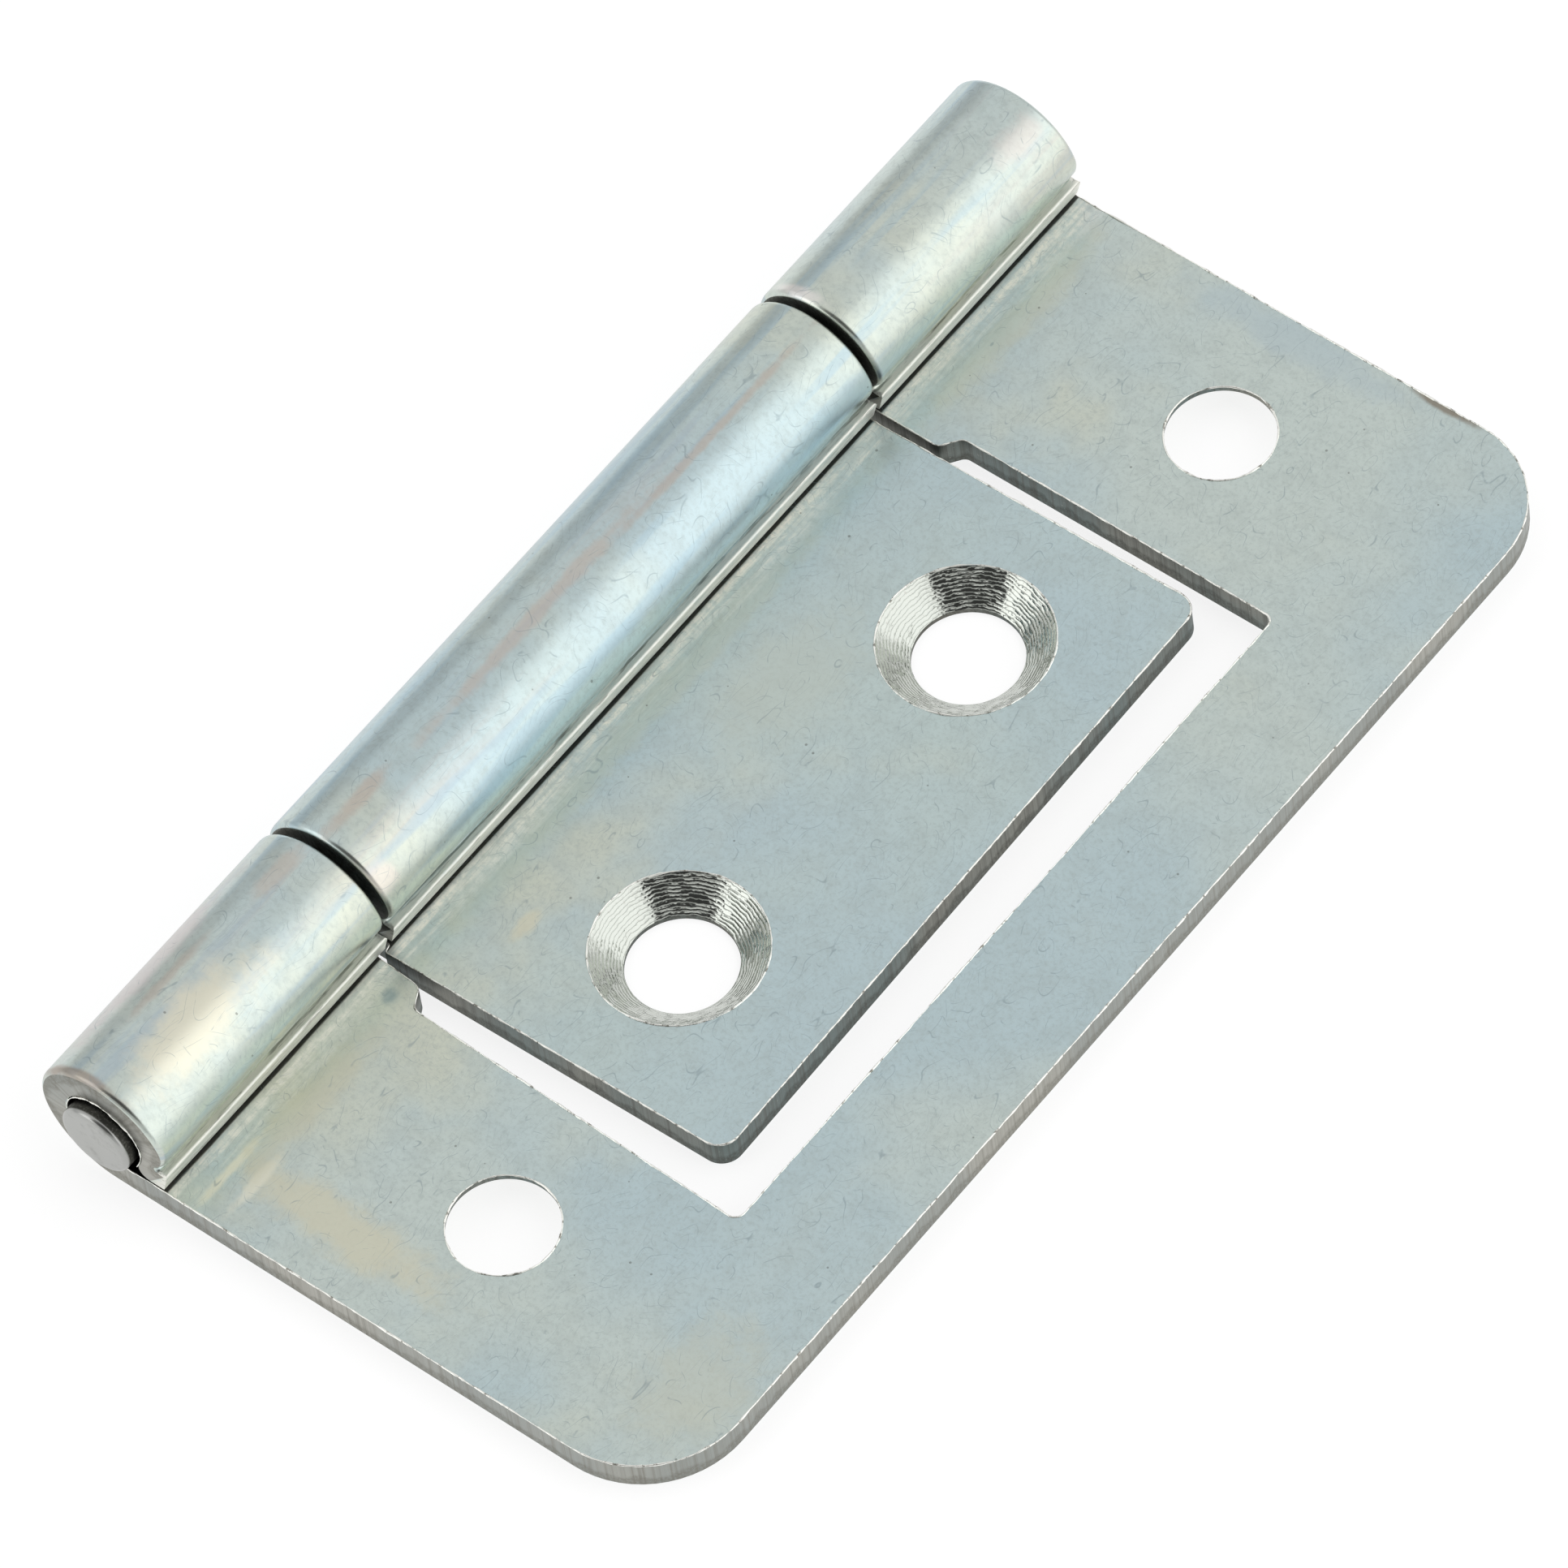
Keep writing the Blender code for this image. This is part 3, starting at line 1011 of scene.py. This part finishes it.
@dataclass(frozen=True)
class Burr:
    """Ragged bright bead of metal that the shears push up along an edge."""

    thickness: float = 0.048 * MM
    raggedness: float = 0.09 * MM
    spacing: float = 0.13 * MM
    seed: float = 4.0
    sides: int = 6

    def sizes(self) -> dict[str, float]:
        """Value of each input of the burr's tree, by its name."""
        sizes = {"Thickness": self.thickness, "Raggedness": self.raggedness, "Spacing": self.spacing}
        return {**sizes, "Seed": self.seed, "Sides": self.sides}

    def tree(self, material: Material) -> Tree:
        """Tree that sweeps a bead of uneven thickness along paths.

        Args:
            material: Material of the bead.

        Returns:
            The tree, whose inputs are the paths and the bead's sizes.
        """
        inputs = {"Paths": "Geometry", **self.sizes()}
        group = Group("sheared_burr", "Geometry", inputs, {"Geometry": "Geometry"})
        add, given = group.add, group.given
        path = add("GeometryNodeMeshToCurve", {"Mesh": given["Paths"]})[0]
        inputs = {"Curve": path, "Length": given["Spacing"]}
        steps = add("GeometryNodeResampleCurve", inputs, mode="LENGTH")[0]
        position = add("GeometryNodeInputPosition")[0]
        where = add("ShaderNodeVectorMath", {0: position, 3: 1 / MM}, operation="SCALE")[0]
        inputs = {"Vector": where, "W": given["Seed"], "Scale": 1.6, "Detail": 3.0, "Roughness": 0.65}
        ragged = add("ShaderNodeTexNoise", inputs, noise_dimensions="4D")["Color"]
        centred = add("ShaderNodeVectorMath", {0: ragged, 1: (0.5, 0.5, 0.5)}, operation="SUBTRACT")[0]
        flat = add("ShaderNodeVectorMath", {0: centred, 1: (1.0, 1.0, 0.2)}, operation="MULTIPLY")[0]
        offset = add("ShaderNodeVectorMath", {0: flat, 3: given["Raggedness"]}, operation="SCALE")[0]
        moved = add("GeometryNodeSetPosition", {"Geometry": steps, "Offset": offset})[0]
        swell = group.span(group.noise(where, 0.9, 4.0, 0.7), 0.34, 0.66, 0.35, 1.35)
        profile = add("GeometryNodeCurvePrimitiveCircle", {"Resolution": given["Sides"], "Radius": 1.0})[0]
        inputs = {"Curve": moved, "Profile Curve": profile, "Scale": given["Thickness"] * swell}
        swept = add("GeometryNodeCurveToMesh", {**inputs, "Fill Caps": True})[0]
        return group.close_shape(swept, material)

    def build(self, name: str, tree: Tree, paths: list[list[Point]]) -> Item:
        """Make the beads of a blank.

        Args:
            name: Name of the piece.
            tree: The burr's tree.
            paths: Runs of points on the blank's inner face.

        Returns:
            One object with all the beads, in the blank's axes.
        """
        points: list[Corner] = []
        edges: list[tuple[int, int]] = []
        for run in paths:
            first = len(points)
            points.extend((s, y, 0.0) for s, y in run)
            edges.extend((index, index + 1) for index in range(first, len(points) - 1))
        mesh = bpy.data.meshes.new(name)
        mesh.from_pydata(points, edges, [])
        item = add_object(name, mesh)
        run_tree(item, tree, self.sizes())
        return item


@dataclass
class Leaf:
    """Sheet metal leaf that is sheared flat, countersunk and rolled round the pin."""

    name: str
    body: str
    slot: str
    replaces: str
    opening: Opening
    land: float
    holes: tuple[Point, ...]
    reach: float
    roll: Roll = Roll()
    cutter: SinkCutter = SinkCutter()
    axis: Point = (-13.25 * MM, 3.5 * MM)
    flat_rollover: float = 0.09 * MM
    knuckle_rollover: float = 0.3 * MM
    flat_wear: float = 0.03 * MM
    knuckle_wear: float = 0.14 * MM
    end_round: float = 0.16 * MM
    burr_in_bore: bool = True
    roll_blend: float = 3.0 * MM
    round_steps: int = 4
    spacing: float = 0.4 * MM
    crisp_angle: float = 32.0

    def outline(self, roll_end: float) -> list[Point]:
        """Outline of the flat blank, whose foot ends at the place roll_end."""
        raise NotImplementedError

    def is_outside(self, place: Point) -> bool:
        """Whether a cut edge at a place on the blank faces out of the hinge."""
        raise NotImplementedError

    def edge_section(self, s: float, roll_end: float) -> list[Point]:
        """Section of the cut edge at a place on the blank, from the outer face to the inner one.

        Args:
            s: Place along the blank.
            roll_end: Place s where the foot ends.

        Returns:
            Inset and depth of each point of the section.
        """
        rolled = min(1.0, max(0.0, -s / self.roll_blend))
        drawn = self.flat_rollover + (self.knuckle_rollover - self.flat_rollover) * rolled
        worn = self.flat_wear + (self.knuckle_wear - self.flat_wear) * rolled
        if s < roll_end + self.end_round:
            drawn = worn = self.end_round
        outer = arc((drawn, self.roll.sheet - drawn), drawn, 90, 180, self.round_steps)
        return outer + arc((worn, worn), worn, 180, 270, self.round_steps)

    def sheared_blank(self, roll_end: float) -> Item:
        """Shear the flat blank: its edges are drawn down most where the knuckles end.

        Args:
            roll_end: Place s where the foot ends.

        Returns:
            The blank, whose inner face lies at z = 0.
        """
        outline = split_outline(self.outline(roll_end), self.spacing)
        steps = inward_steps(outline)
        work = bmesh.new()
        columns = []
        for place, step in zip(outline, steps):
            section = [
                (*(Vector(place) + step * inset), -depth)
                for inset, depth in self.edge_section(place[0], roll_end)
            ]
            columns.append([work.verts.new(point) for point in section])
        rings = list(zip(*columns))
        work.faces.new(rings[0])
        work.faces.new(rings[-1])
        for lower, upper in zip(rings, rings[1:]):
            for index in range(len(lower)):
                work.faces.new((lower[index - 1], lower[index], upper[index], upper[index - 1]))
        mesh = bpy.data.meshes.new(self.name)
        write_outwards(work, mesh)
        return add_object(self.name, mesh)

    def cut_holes(self, blank: Item, tree: Tree) -> None:
        """Drill and countersink the blank.

        Args:
            blank: The flat blank.
            tree: The countersinking cutter's tree.
        """
        cutters = []
        for index, place in enumerate(self.holes):
            cutter = self.cutter.build(f"{self.name}_cutter_{index}", tree, place, self.land, self.opening)
            modifier = blank.modifiers.new(cutter.name, "BOOLEAN")
            modifier.operation = "DIFFERENCE"
            modifier.solver = "EXACT"
            modifier.object = cutter
            cutters.append(cutter)
        bake_modifiers(blank)
        for cutter in cutters:
            bpy.data.objects.remove(cutter, do_unlink=True)

    def region_of(self, face: bmesh.types.BMFace, roll_end: float) -> Region:
        """Finish of a face of the flat blank.

        Args:
            face: The face.
            roll_end: Place s where the foot ends.

        Returns:
            The region that it belongs to.
        """
        middle = face.calc_center_median()
        place = (middle.x, middle.y)
        upright = abs(face.normal.z) < 0.35
        sloping = abs(face.normal.z) < 0.95
        for hole in self.holes:
            if upright and math.dist(place, hole) < self.cutter.hole_radius + 0.01 * MM:
                return Region.INNER_WALL
            if sloping and math.dist(place, hole) < self.cutter.head_radius:
                return Region.COUNTERSINK
        if not upright or middle.x < roll_end + 0.1 * MM:
            return Region.SHEET
        return Region.OUTER_WALL if self.is_outside(place) else Region.INNER_WALL

    def rolled(self, point: Vector, stations: list[Station]) -> Corner:
        """Place of a point of the blank once the blank is rolled."""
        x, height = self.roll.place(point.x, -point.z, stations)
        return (self.axis[0] + x, point.y, self.axis[1] + height)

    def roll_up(self, blank: Item, stations: list[Station]) -> None:
        """Roll the flat blank round the pin and keep each point's place on the blank.

        Args:
            blank: The flat blank.
            stations: The section's stations.
        """
        work = bmesh.new()
        work.from_mesh(blank.data)
        for s, _inner, _outer in stations[:-1]:
            geometry = work.verts[:] + work.edges[:] + work.faces[:]
            plane = {"plane_co": (s, 0, 0), "plane_no": (1, 0, 0)}
            bmesh.ops.bisect_plane(work, geom=geometry, dist=2 * JOIN, **plane)
        work.normal_update()
        for face in work.faces:
            face.material_index = self.region_of(face, stations[-1][0]).value
        kept = work.verts.layers.float_vector.new("blank")
        for vertex in work.verts:
            vertex[kept] = vertex.co.copy()
            vertex.co = self.rolled(vertex.co, stations)
        work.to_mesh(blank.data)
        work.free()

    def rim_paths(self, roll_end: float) -> list[list[Point]]:
        """Paths on the inner face that carry a burr: rims, and the outline where no pin or foot rubs.

        Args:
            roll_end: Place s where the foot ends.

        Returns:
            A list of points for each path.
        """
        outline = split_outline(self.outline(roll_end), self.spacing)
        insets = [step * self.flat_wear / 2 for step in inward_steps(outline)]
        moved = [tuple(Vector(place) + inset) for place, inset in zip(outline, insets)]
        limit = roll_end + self.end_round if self.burr_in_bore else 0.0
        first = next(index for index, place in enumerate(moved) if place[0] < limit)
        paths: list[list[Point]] = [[]]
        for place in moved[first:] + moved[:first]:
            if place[0] > limit:
                paths[-1].append(place)
            elif paths[-1]:
                paths.append([])
        radius = self.cutter.head_radius if self.opening is Opening.UPWARDS else self.cutter.hole_radius
        rims = [arc(hole, radius, 0, 360, self.cutter.steps_around) for hole in self.holes]
        return [run for run in paths if len(run) > 1] + rims

    def build_burr(self, burr: Burr, tree: Tree) -> Item:
        """Run a burr along the rims and roll it with the leaf.

        Args:
            burr: Sizes of the burr.
            tree: The burr's tree.

        Returns:
            The finished burr.
        """
        stations = self.roll.stations()
        item = burr.build(self.name + "_burr", tree, self.rim_paths(stations[-1][0]))
        kept = item.data.attributes.new("blank", "FLOAT_VECTOR", "POINT")
        for index, vertex in enumerate(item.data.vertices):
            kept.data[index].vector = vertex.co
            vertex.co = self.rolled(vertex.co, stations)
        item.data.shade_smooth()
        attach(item, self.body)
        return item

    def shade(self, leaf: Item) -> None:
        """Shade the leaf smooth, with its flats flat and its hole edges crisp.

        Args:
            leaf: The rolled leaf.
        """
        leaf.data.shade_smooth()
        leaf.data.set_sharp_from_angle(angle=math.radians(self.crisp_angle))
        modifier = leaf.modifiers.new("flats", "WEIGHTED_NORMAL")
        modifier.keep_sharp = True
        modifier.weight = 80
        bake_modifiers(leaf)

    def build(self, tree: Tree, materials: list[Material]) -> Item:
        """Make the leaf and put it on its body.

        Args:
            tree: The countersinking cutter's tree.
            materials: A material for each region, in order.

        Returns:
            The finished leaf.
        """
        stations = self.roll.stations()
        leaf = self.sheared_blank(stations[-1][0])
        self.cut_holes(leaf, tree)
        leaf.data.materials.clear()
        for material in materials:
            leaf.data.materials.append(material)
        self.roll_up(leaf, stations)
        self.shade(leaf)
        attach(leaf, self.body)
        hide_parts(self.replaces)
        return leaf


@dataclass(frozen=True)
class WindowSide:
    """One side of the window, as distances from the middle of the hinge and places on the blank."""

    knuckle: float
    neck_start: float
    neck: float
    relief: float
    relief_run: float
    start: float
    end: float
    relief_corner: float = 0.45 * MM

    def corners(self, roll_end: float, reach: float, corner: float) -> list[Corner]:
        """Corners of this side, from the foot to the far corner of the window.

        Args:
            roll_end: Place s where the foot ends.
            reach: Place s of the window's far edge.
            corner: Radius of the window's corner.

        Returns:
            Place, distance and radius of each corner.
        """
        return [
            (roll_end, self.knuckle, 0.0),
            (-3.0 * MM, self.knuckle, 0.0),
            (0.0, self.neck_start, 0.0),
            (self.relief, self.neck, self.relief_corner),
            (self.relief + self.relief_run, self.start, self.relief_corner),
            (reach, self.end, corner),
        ]


@dataclass
class FrameLeaf(Leaf):
    """Frame leaf with two end knuckles and a window for the flap leaf."""

    name: str = "frame_leaf_sheet"
    body: str = "frame_leaf"
    slot: str = "frame_leaf_zinc"
    replaces: str = "outer_leaf"
    opening: Opening = Opening.DOWNWARDS
    land: float = 0.3 * MM
    holes: tuple[Point, ...] = ((15.85 * MM, -24.6 * MM), (16.0 * MM, 24.85 * MM))
    reach: float = 30.0 * MM
    half_length: float = 31.5 * MM
    near_corner: float = 5.0 * MM
    far_corner: float = 4.8 * MM
    window_reach: float = 23.8 * MM
    window_corner: float = 0.45 * MM
    near: WindowSide = WindowSide(
        knuckle=16.75 * MM,
        neck_start=16.95 * MM,
        neck=17.3 * MM,
        relief=5.35 * MM,
        relief_run=0.55 * MM,
        start=18.35 * MM,
        end=18.8 * MM,
    )
    far: WindowSide = WindowSide(
        knuckle=17.38 * MM,
        neck_start=17.37 * MM,
        neck=17.35 * MM,
        relief=6.25 * MM,
        relief_run=0.7 * MM,
        start=18.3 * MM,
        end=18.35 * MM,
    )

    def outline(self, roll_end: float) -> list[Point]:
        """Outline of the blank, with its window open to the roll side.

        Args:
            roll_end: Place s where the foot ends.

        Returns:
            Points of the outline.
        """
        window = (roll_end, self.window_reach, self.window_corner)
        upper = self.far.corners(*window)
        lower = [(s, -y, radius) for s, y, radius in self.near.corners(*window)]
        start, end = (roll_end, self.half_length, 0.0), (roll_end, -self.half_length, 0.0)
        near_free = (self.reach, -self.half_length, self.near_corner)
        far_free = (self.reach, self.half_length, self.far_corner)
        return rounded_polygon([start, *upper, *reversed(lower), end, near_free, far_free])

    def is_outside(self, place: Point) -> bool:
        """Whether a cut edge at a place on the blank faces out of the hinge."""
        return abs(place[1]) > self.near.end + 0.1 * MM or place[0] > self.window_reach + 0.1 * MM


@dataclass
class FlapLeaf(Leaf):
    """Flap leaf with one long knuckle, whose flat part is sheared a touch askew."""

    name: str = "flap_leaf_sheet"
    body: str = "flap_leaf"
    slot: str = "flap_leaf_zinc"
    replaces: str = "inner_leaf"
    opening: Opening = Opening.UPWARDS
    land: float = 0.25 * MM
    holes: tuple[Point, ...] = ((13.25 * MM, -9.48 * MM), (13.55 * MM, 9.98 * MM))
    reach: float = 21.0 * MM
    corner: float = 1.0 * MM
    near_knuckle: float = 16.3 * MM
    near_side: float = 16.78 * MM
    far_knuckle: float = 17.0 * MM
    far_side: float = 16.88 * MM
    skew: float = 0.0142
    burr_in_bore: bool = False

    def outline(self, roll_end: float) -> list[Point]:
        """Outline of the blank, with a small step where its near side leaves the knuckle.

        Args:
            roll_end: Place s where the foot ends.

        Returns:
            Points of the outline.
        """
        side_turn = self.reach * self.skew
        end_turn = self.near_side * self.skew
        corners = [
            (roll_end, self.far_knuckle, 0.0),
            (roll_end, -self.near_knuckle, 0.0),
            (2.92 * MM, -self.near_knuckle - 0.1 * MM, 0.0),
            (3.02 * MM, -self.near_side, 0.0),
            (self.reach + end_turn, side_turn - self.near_side, self.corner),
            (self.reach - end_turn, side_turn + self.far_side, self.corner),
            (self.roll.barrel, self.far_side, 0.0),
            (0.0, self.far_knuckle, 0.0),
        ]
        return rounded_polygon(corners)

    def is_outside(self, place: Point) -> bool:
        """Whether a cut edge at a place on the blank faces out of the hinge: none does here."""
        return False


@dataclass
class HingePin:
    """Plain pin, cropped and slightly rounded at its ends."""

    name: str = "pin_wire"
    body: str = "frame_leaf"
    slot: str = "pin_steel"
    replaces: str = "hinge_pin"
    radius: float = 1.8 * MM
    half_length: float = 32.1 * MM
    end_round: float = 0.25 * MM
    dish: float = 0.03 * MM
    dish_rings: int = 5
    axis: Point = (-13.34 * MM, 3.37 * MM)
    steps_around: int = 120

    def profile(self) -> list[Point]:
        """Profile of the pin, from the middle of one end to the middle of the other.

        Returns:
            Radius and height of each point.
        """
        inner = self.radius - self.end_round
        shares = [index / self.dish_rings for index in range(self.dish_rings)]
        face = [(inner * share, self.half_length - self.dish * (1 - share) ** 2) for share in shares]
        upper = face + arc((inner, self.half_length - self.end_round), self.end_round, 90, 0, 8)
        return upper + [(radius, -height) for radius, height in reversed(upper)]

    def build(self, material: Material) -> Item:
        """Turn the pin and put it on its body.

        Args:
            material: Material of the pin.

        Returns:
            The finished pin.
        """
        x, z = self.axis
        work = bmesh.new()
        rim = [work.verts.new((x, height, z + radius)) for radius, height in self.profile()]
        turned = rim + [work.edges.new(pair) for pair in zip(rim, rim[1:])]
        turn = {"cent": (x, 0, z), "axis": (0, 1, 0), "angle": math.tau, "steps": self.steps_around}
        bmesh.ops.spin(work, geom=turned, **turn)
        bmesh.ops.remove_doubles(work, verts=work.verts, dist=JOIN)
        mesh = bpy.data.meshes.new(self.name)
        write_outwards(work, mesh)
        mesh.materials.append(material)
        mesh.shade_smooth()
        pin = add_object(self.name, mesh)
        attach(pin, self.body)
        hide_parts(self.replaces)
        return pin


@dataclass(frozen=True)
class Panel:
    """Bright or dark round panel in the room, by the angles that its soft rim spans."""

    direction: Corner
    inner: float
    outer: float
    light: float
    lowest: float = -1.0


@dataclass
class Studio:
    """Pale floor, a room of soft light and the camera."""

    floor_size: float = 3.0
    floor_level: float = -0.02 * MM
    azimuth: float = 46.312
    elevation: float = 55.208
    roll: float = 9.7298
    lens: float = 316.21
    aim: Corner = (-0.00153572, -0.00033999, 0.0015)
    distance: float = 0.5873250
    wall_light: float = 0.45
    ceiling_light: float = 0.85
    ground_light: float = 0.25
    panels: tuple[Panel, ...] = (
        Panel((0.85, 0.42, 0.33), 26.0, 56.0, 1.5),
        Panel((-0.485, -0.729, 0.482), 21.0, 26.0, 1.7),
        Panel((0.313, -0.669, 0.672), 37.0, 40.0, 0.05, 0.4),
        Panel((-0.84, 0.39, 0.37), 2.0, 9.0, 0.42),
    )

    def build_floor(self) -> None:
        """Lay a white floor that shows the hinge's shadow and is clear from below."""
        mesh = bpy.data.meshes.new("floor")
        half = self.floor_size / 2
        sides = ((-half, -half), (half, -half), (half, half), (-half, half))
        mesh.from_pydata([(*side, self.floor_level) for side in sides], [], [(0, 1, 2, 3)])
        material = bpy.data.materials.new("studio_paper")
        material.use_nodes = True
        material.node_tree.nodes.clear()
        wiring = Wiring(material.node_tree)
        path = wiring.add("ShaderNodeLightPath")
        mirrored = path["Is Glossy Ray"] + path["Is Transmission Ray"]
        seen = wiring.math("ADD", path["Is Camera Ray"], mirrored, clamp=True)
        paper = wiring.add("ShaderNodeBsdfDiffuse", {"Color": (0.8, 0.8, 0.8, 1)})[0]
        shadow = wiring.add("ShaderNodeBsdfDiffuse", {"Color": (0.3, 0.3, 0.3, 1)})[0]
        glow = wiring.add("ShaderNodeEmission", {"Color": (1, 1, 1, 1), "Strength": 0.8})[0]
        white = wiring.add("ShaderNodeAddShader", {0: shadow, 1: glow})[0]
        mixed = wiring.add("ShaderNodeMixShader", {0: seen, 1: paper, 2: white})[0]
        below = wiring.add("ShaderNodeNewGeometry")["Backfacing"]
        clear = wiring.add("ShaderNodeBsdfTransparent")[0]
        shown = wiring.add("ShaderNodeMixShader", {0: below, 1: mixed, 2: clear})[0]
        wiring.add("ShaderNodeOutputMaterial", {"Surface": shown})
        mesh.materials.append(material)
        add_object("floor", mesh)

    def light_world(self) -> None:
        """Surround the hinge with a pale room: bright panels, a dark patch and a dim horizon."""
        world = bpy.data.worlds.new("room")
        world.use_nodes = True
        bpy.context.scene.world = world
        world.node_tree.nodes.clear()
        wiring = Wiring(world.node_tree)
        direction = wiring.add("ShaderNodeTexCoord")["Generated"]
        height = wiring.split(direction)[2]
        walls = wiring.span(height, 0.12, 0.3, self.wall_light, self.ceiling_light)
        glow = walls + wiring.span(height, 0.0, 0.12, self.ground_light, 0.0)
        for panel in self.panels:
            inputs = {0: direction, 1: tuple(Vector(panel.direction).normalized())}
            facing = wiring.add("ShaderNodeVectorMath", inputs, operation="DOT_PRODUCT")["Value"]
            outer, inner = (math.cos(math.radians(angle)) for angle in (panel.outer, panel.inner))
            mask = wiring.span(facing, outer, inner) * wiring.span(height, panel.lowest, panel.lowest + 0.08)
            glow = glow + (panel.light - glow) * mask
        seen = wiring.add("ShaderNodeLightPath")["Is Camera Ray"]
        light = {"Color": (1, 1, 1, 1), "Strength": wiring.math("MAXIMUM", glow, seen)}
        wiring.add("ShaderNodeOutputWorld", {"Surface": wiring.add("ShaderNodeBackground", light)[0]})

    def place_camera(self) -> None:
        """Stand the camera where the photograph was taken from."""
        angles = (self.azimuth, self.elevation, self.roll)
        azimuth, elevation, roll = (math.radians(angle) for angle in angles)
        level = math.cos(elevation)
        back = Vector((math.sin(azimuth) * level, -math.cos(azimuth) * level, math.sin(elevation)))
        across = Vector((math.cos(azimuth), math.sin(azimuth), 0.0))
        right = across * math.cos(roll) + across.cross(back) * math.sin(roll)
        data = bpy.data.cameras.new("camera")
        data.lens = self.lens
        data.sensor_width = 36.0
        data.clip_start = 0.01
        data.clip_end = 20.0
        camera = bpy.data.objects.new("camera", data)
        turn = Matrix((right, back.cross(right), back)).transposed().to_4x4()
        camera.matrix_world = Matrix.Translation(Vector(self.aim) + back * self.distance) @ turn
        bpy.context.scene.collection.objects.link(camera)
        bpy.context.scene.camera = camera

    def build(self) -> None:
        """Set the floor, the light and the camera."""
        bpy.context.scene.view_settings.view_transform = "Standard"
        self.place_camera()
        self.build_floor()
        self.light_world()


def frame_stains() -> tuple[Stain, ...]:
    """Tints of the frame leaf: on its two knuckles, along the bend and near its corners, with painted light
    in two pale strips beside the near foot.

    Returns:
        The stains, in the order that they are laid.
    """
    cream, rose, sand = (228, 224, 204), (206, 194, 194), (198, 184, 172)
    return (
        Stain(on_barrel(67), -26.4, 1.35, 5.0, cream, 0.85),
        Stain(on_barrel(135), -25.0, 0.9, 7.0, rose, 0.6),
        Stain(on_barrel(106), -25.5, 0.3, 3.0, sand, 0.5),
        Stain(on_barrel(98), -18.6, 0.45, 1.8, sand, 0.5),
        Stain(on_barrel(62), 29.5, 0.7, 1.8, (216, 206, 200), 0.5),
        Stain(on_barrel(112), 17.75, 1.3, 0.4, (238, 234, 230), 0.8),
        Stain(on_barrel(105), -31.3, 2.9, 0.32, (160, 146, 134), 0.75),
        Stain(10.5, -28.6, 6.5, 1.5, (214, 211, 188), 0.75),
        # Painted light: two pale strips beside the near foot, partly the bend's pale metal and partly
        # painted light lifting the shade there.
        Stain(4.6, -28.8, 0.28, 2.6, (240, 236, 216), 0.8),
        Stain(5.9, -29.0, 0.34, 2.0, (236, 234, 216), 0.7),
        Stain(5.2, -24.5, 1.1, 6.0, (208, 206, 184), 0.6),
        Stain(4.6, -18.4, 0.5, 0.6, (128, 152, 160), 0.6),
        Stain(5.0, 24.5, 1.0, 7.5, (206, 207, 188), 0.5),
        Stain(27.5, -26.0, 3.0, 4.0, (205, 207, 190), 0.5),
        Stain(16.0, 30.6, 7.0, 1.2, (184, 200, 206), 0.5),
        Stain(23.2, 31.45, 2.2, 0.3, (140, 130, 116), 0.85),
    )


def flap_stains() -> tuple[Stain, ...]:
    """Tints of the flap leaf: brown streaks on its knuckle and pale ones along the bend.

    Returns:
        The stains, in the order that they are laid.
    """
    sand = (194, 180, 168)
    return (
        Stain(on_barrel(90), -14.0, 0.4, 2.6, sand, 0.65),
        Stain(on_barrel(86), -2.0, 0.35, 9.0, (198, 186, 176), 0.6),
        Stain(on_barrel(80), 9.0, 0.22, 8.0, sand, 0.6),
        Stain(on_barrel(38), -15.9, 0.7, 0.9, (226, 212, 204), 0.5),
        Stain(4.6, 0.0, 0.8, 17.0, (206, 208, 192), 0.5),
        Stain(7.1, -12.2, 0.5, 1.1, (218, 214, 190), 0.7),
        Stain(8.5, 4.0, 3.0, 5.0, (198, 206, 196), 0.5),
    )


def report(piece: Item) -> None:
    """Log a finished piece and its number of faces."""
    log.info("%s: %d faces", piece.name, len(piece.data.polygons))


def main() -> None:
    """Build the studio and the hinge's pieces."""
    logging.basicConfig(level=logging.INFO, format="%(name)s: %(message)s")
    Studio().build()
    groups = SurfaceEffects().build()
    frame_zinc = ZincSheet("frame_zinc", groups, frame_stains()).build()
    flap_zinc = ZincSheet("flap_zinc", groups, flap_stains(), base=(196, 211, 209)).build()
    outside = ShearedEdge("sheared_outside", groups).build()
    # Painted shade: cut walls that face into the hinge, the window and the holes get a darker copy of the
    # sheared finish for the shade between the parts.
    painted_shade = {"base": (134, 134, 126), "dark": (86, 86, 80), "tint": (112, 124, 122), "roughness": 0.45}
    inside = ShearedEdge("sheared_inside", groups, **painted_shade).build()
    sink = TurnedSink("countersink_turned").build()
    cutter_tree = SinkCutter().tree(sink)
    burr = Burr()
    burr_tree = burr.tree(BurrMetal("burr_metal").build())
    for leaf, zinc in ((FrameLeaf(), frame_zinc), (FlapLeaf(), flap_zinc)):
        report(leaf.build(cutter_tree, [zinc, outside, inside, sink]))
        report(leaf.build_burr(burr, burr_tree))
    report(HingePin().build(PinSteel("pin_steel_wire").build()))


if __name__ == "__main__":
    main()
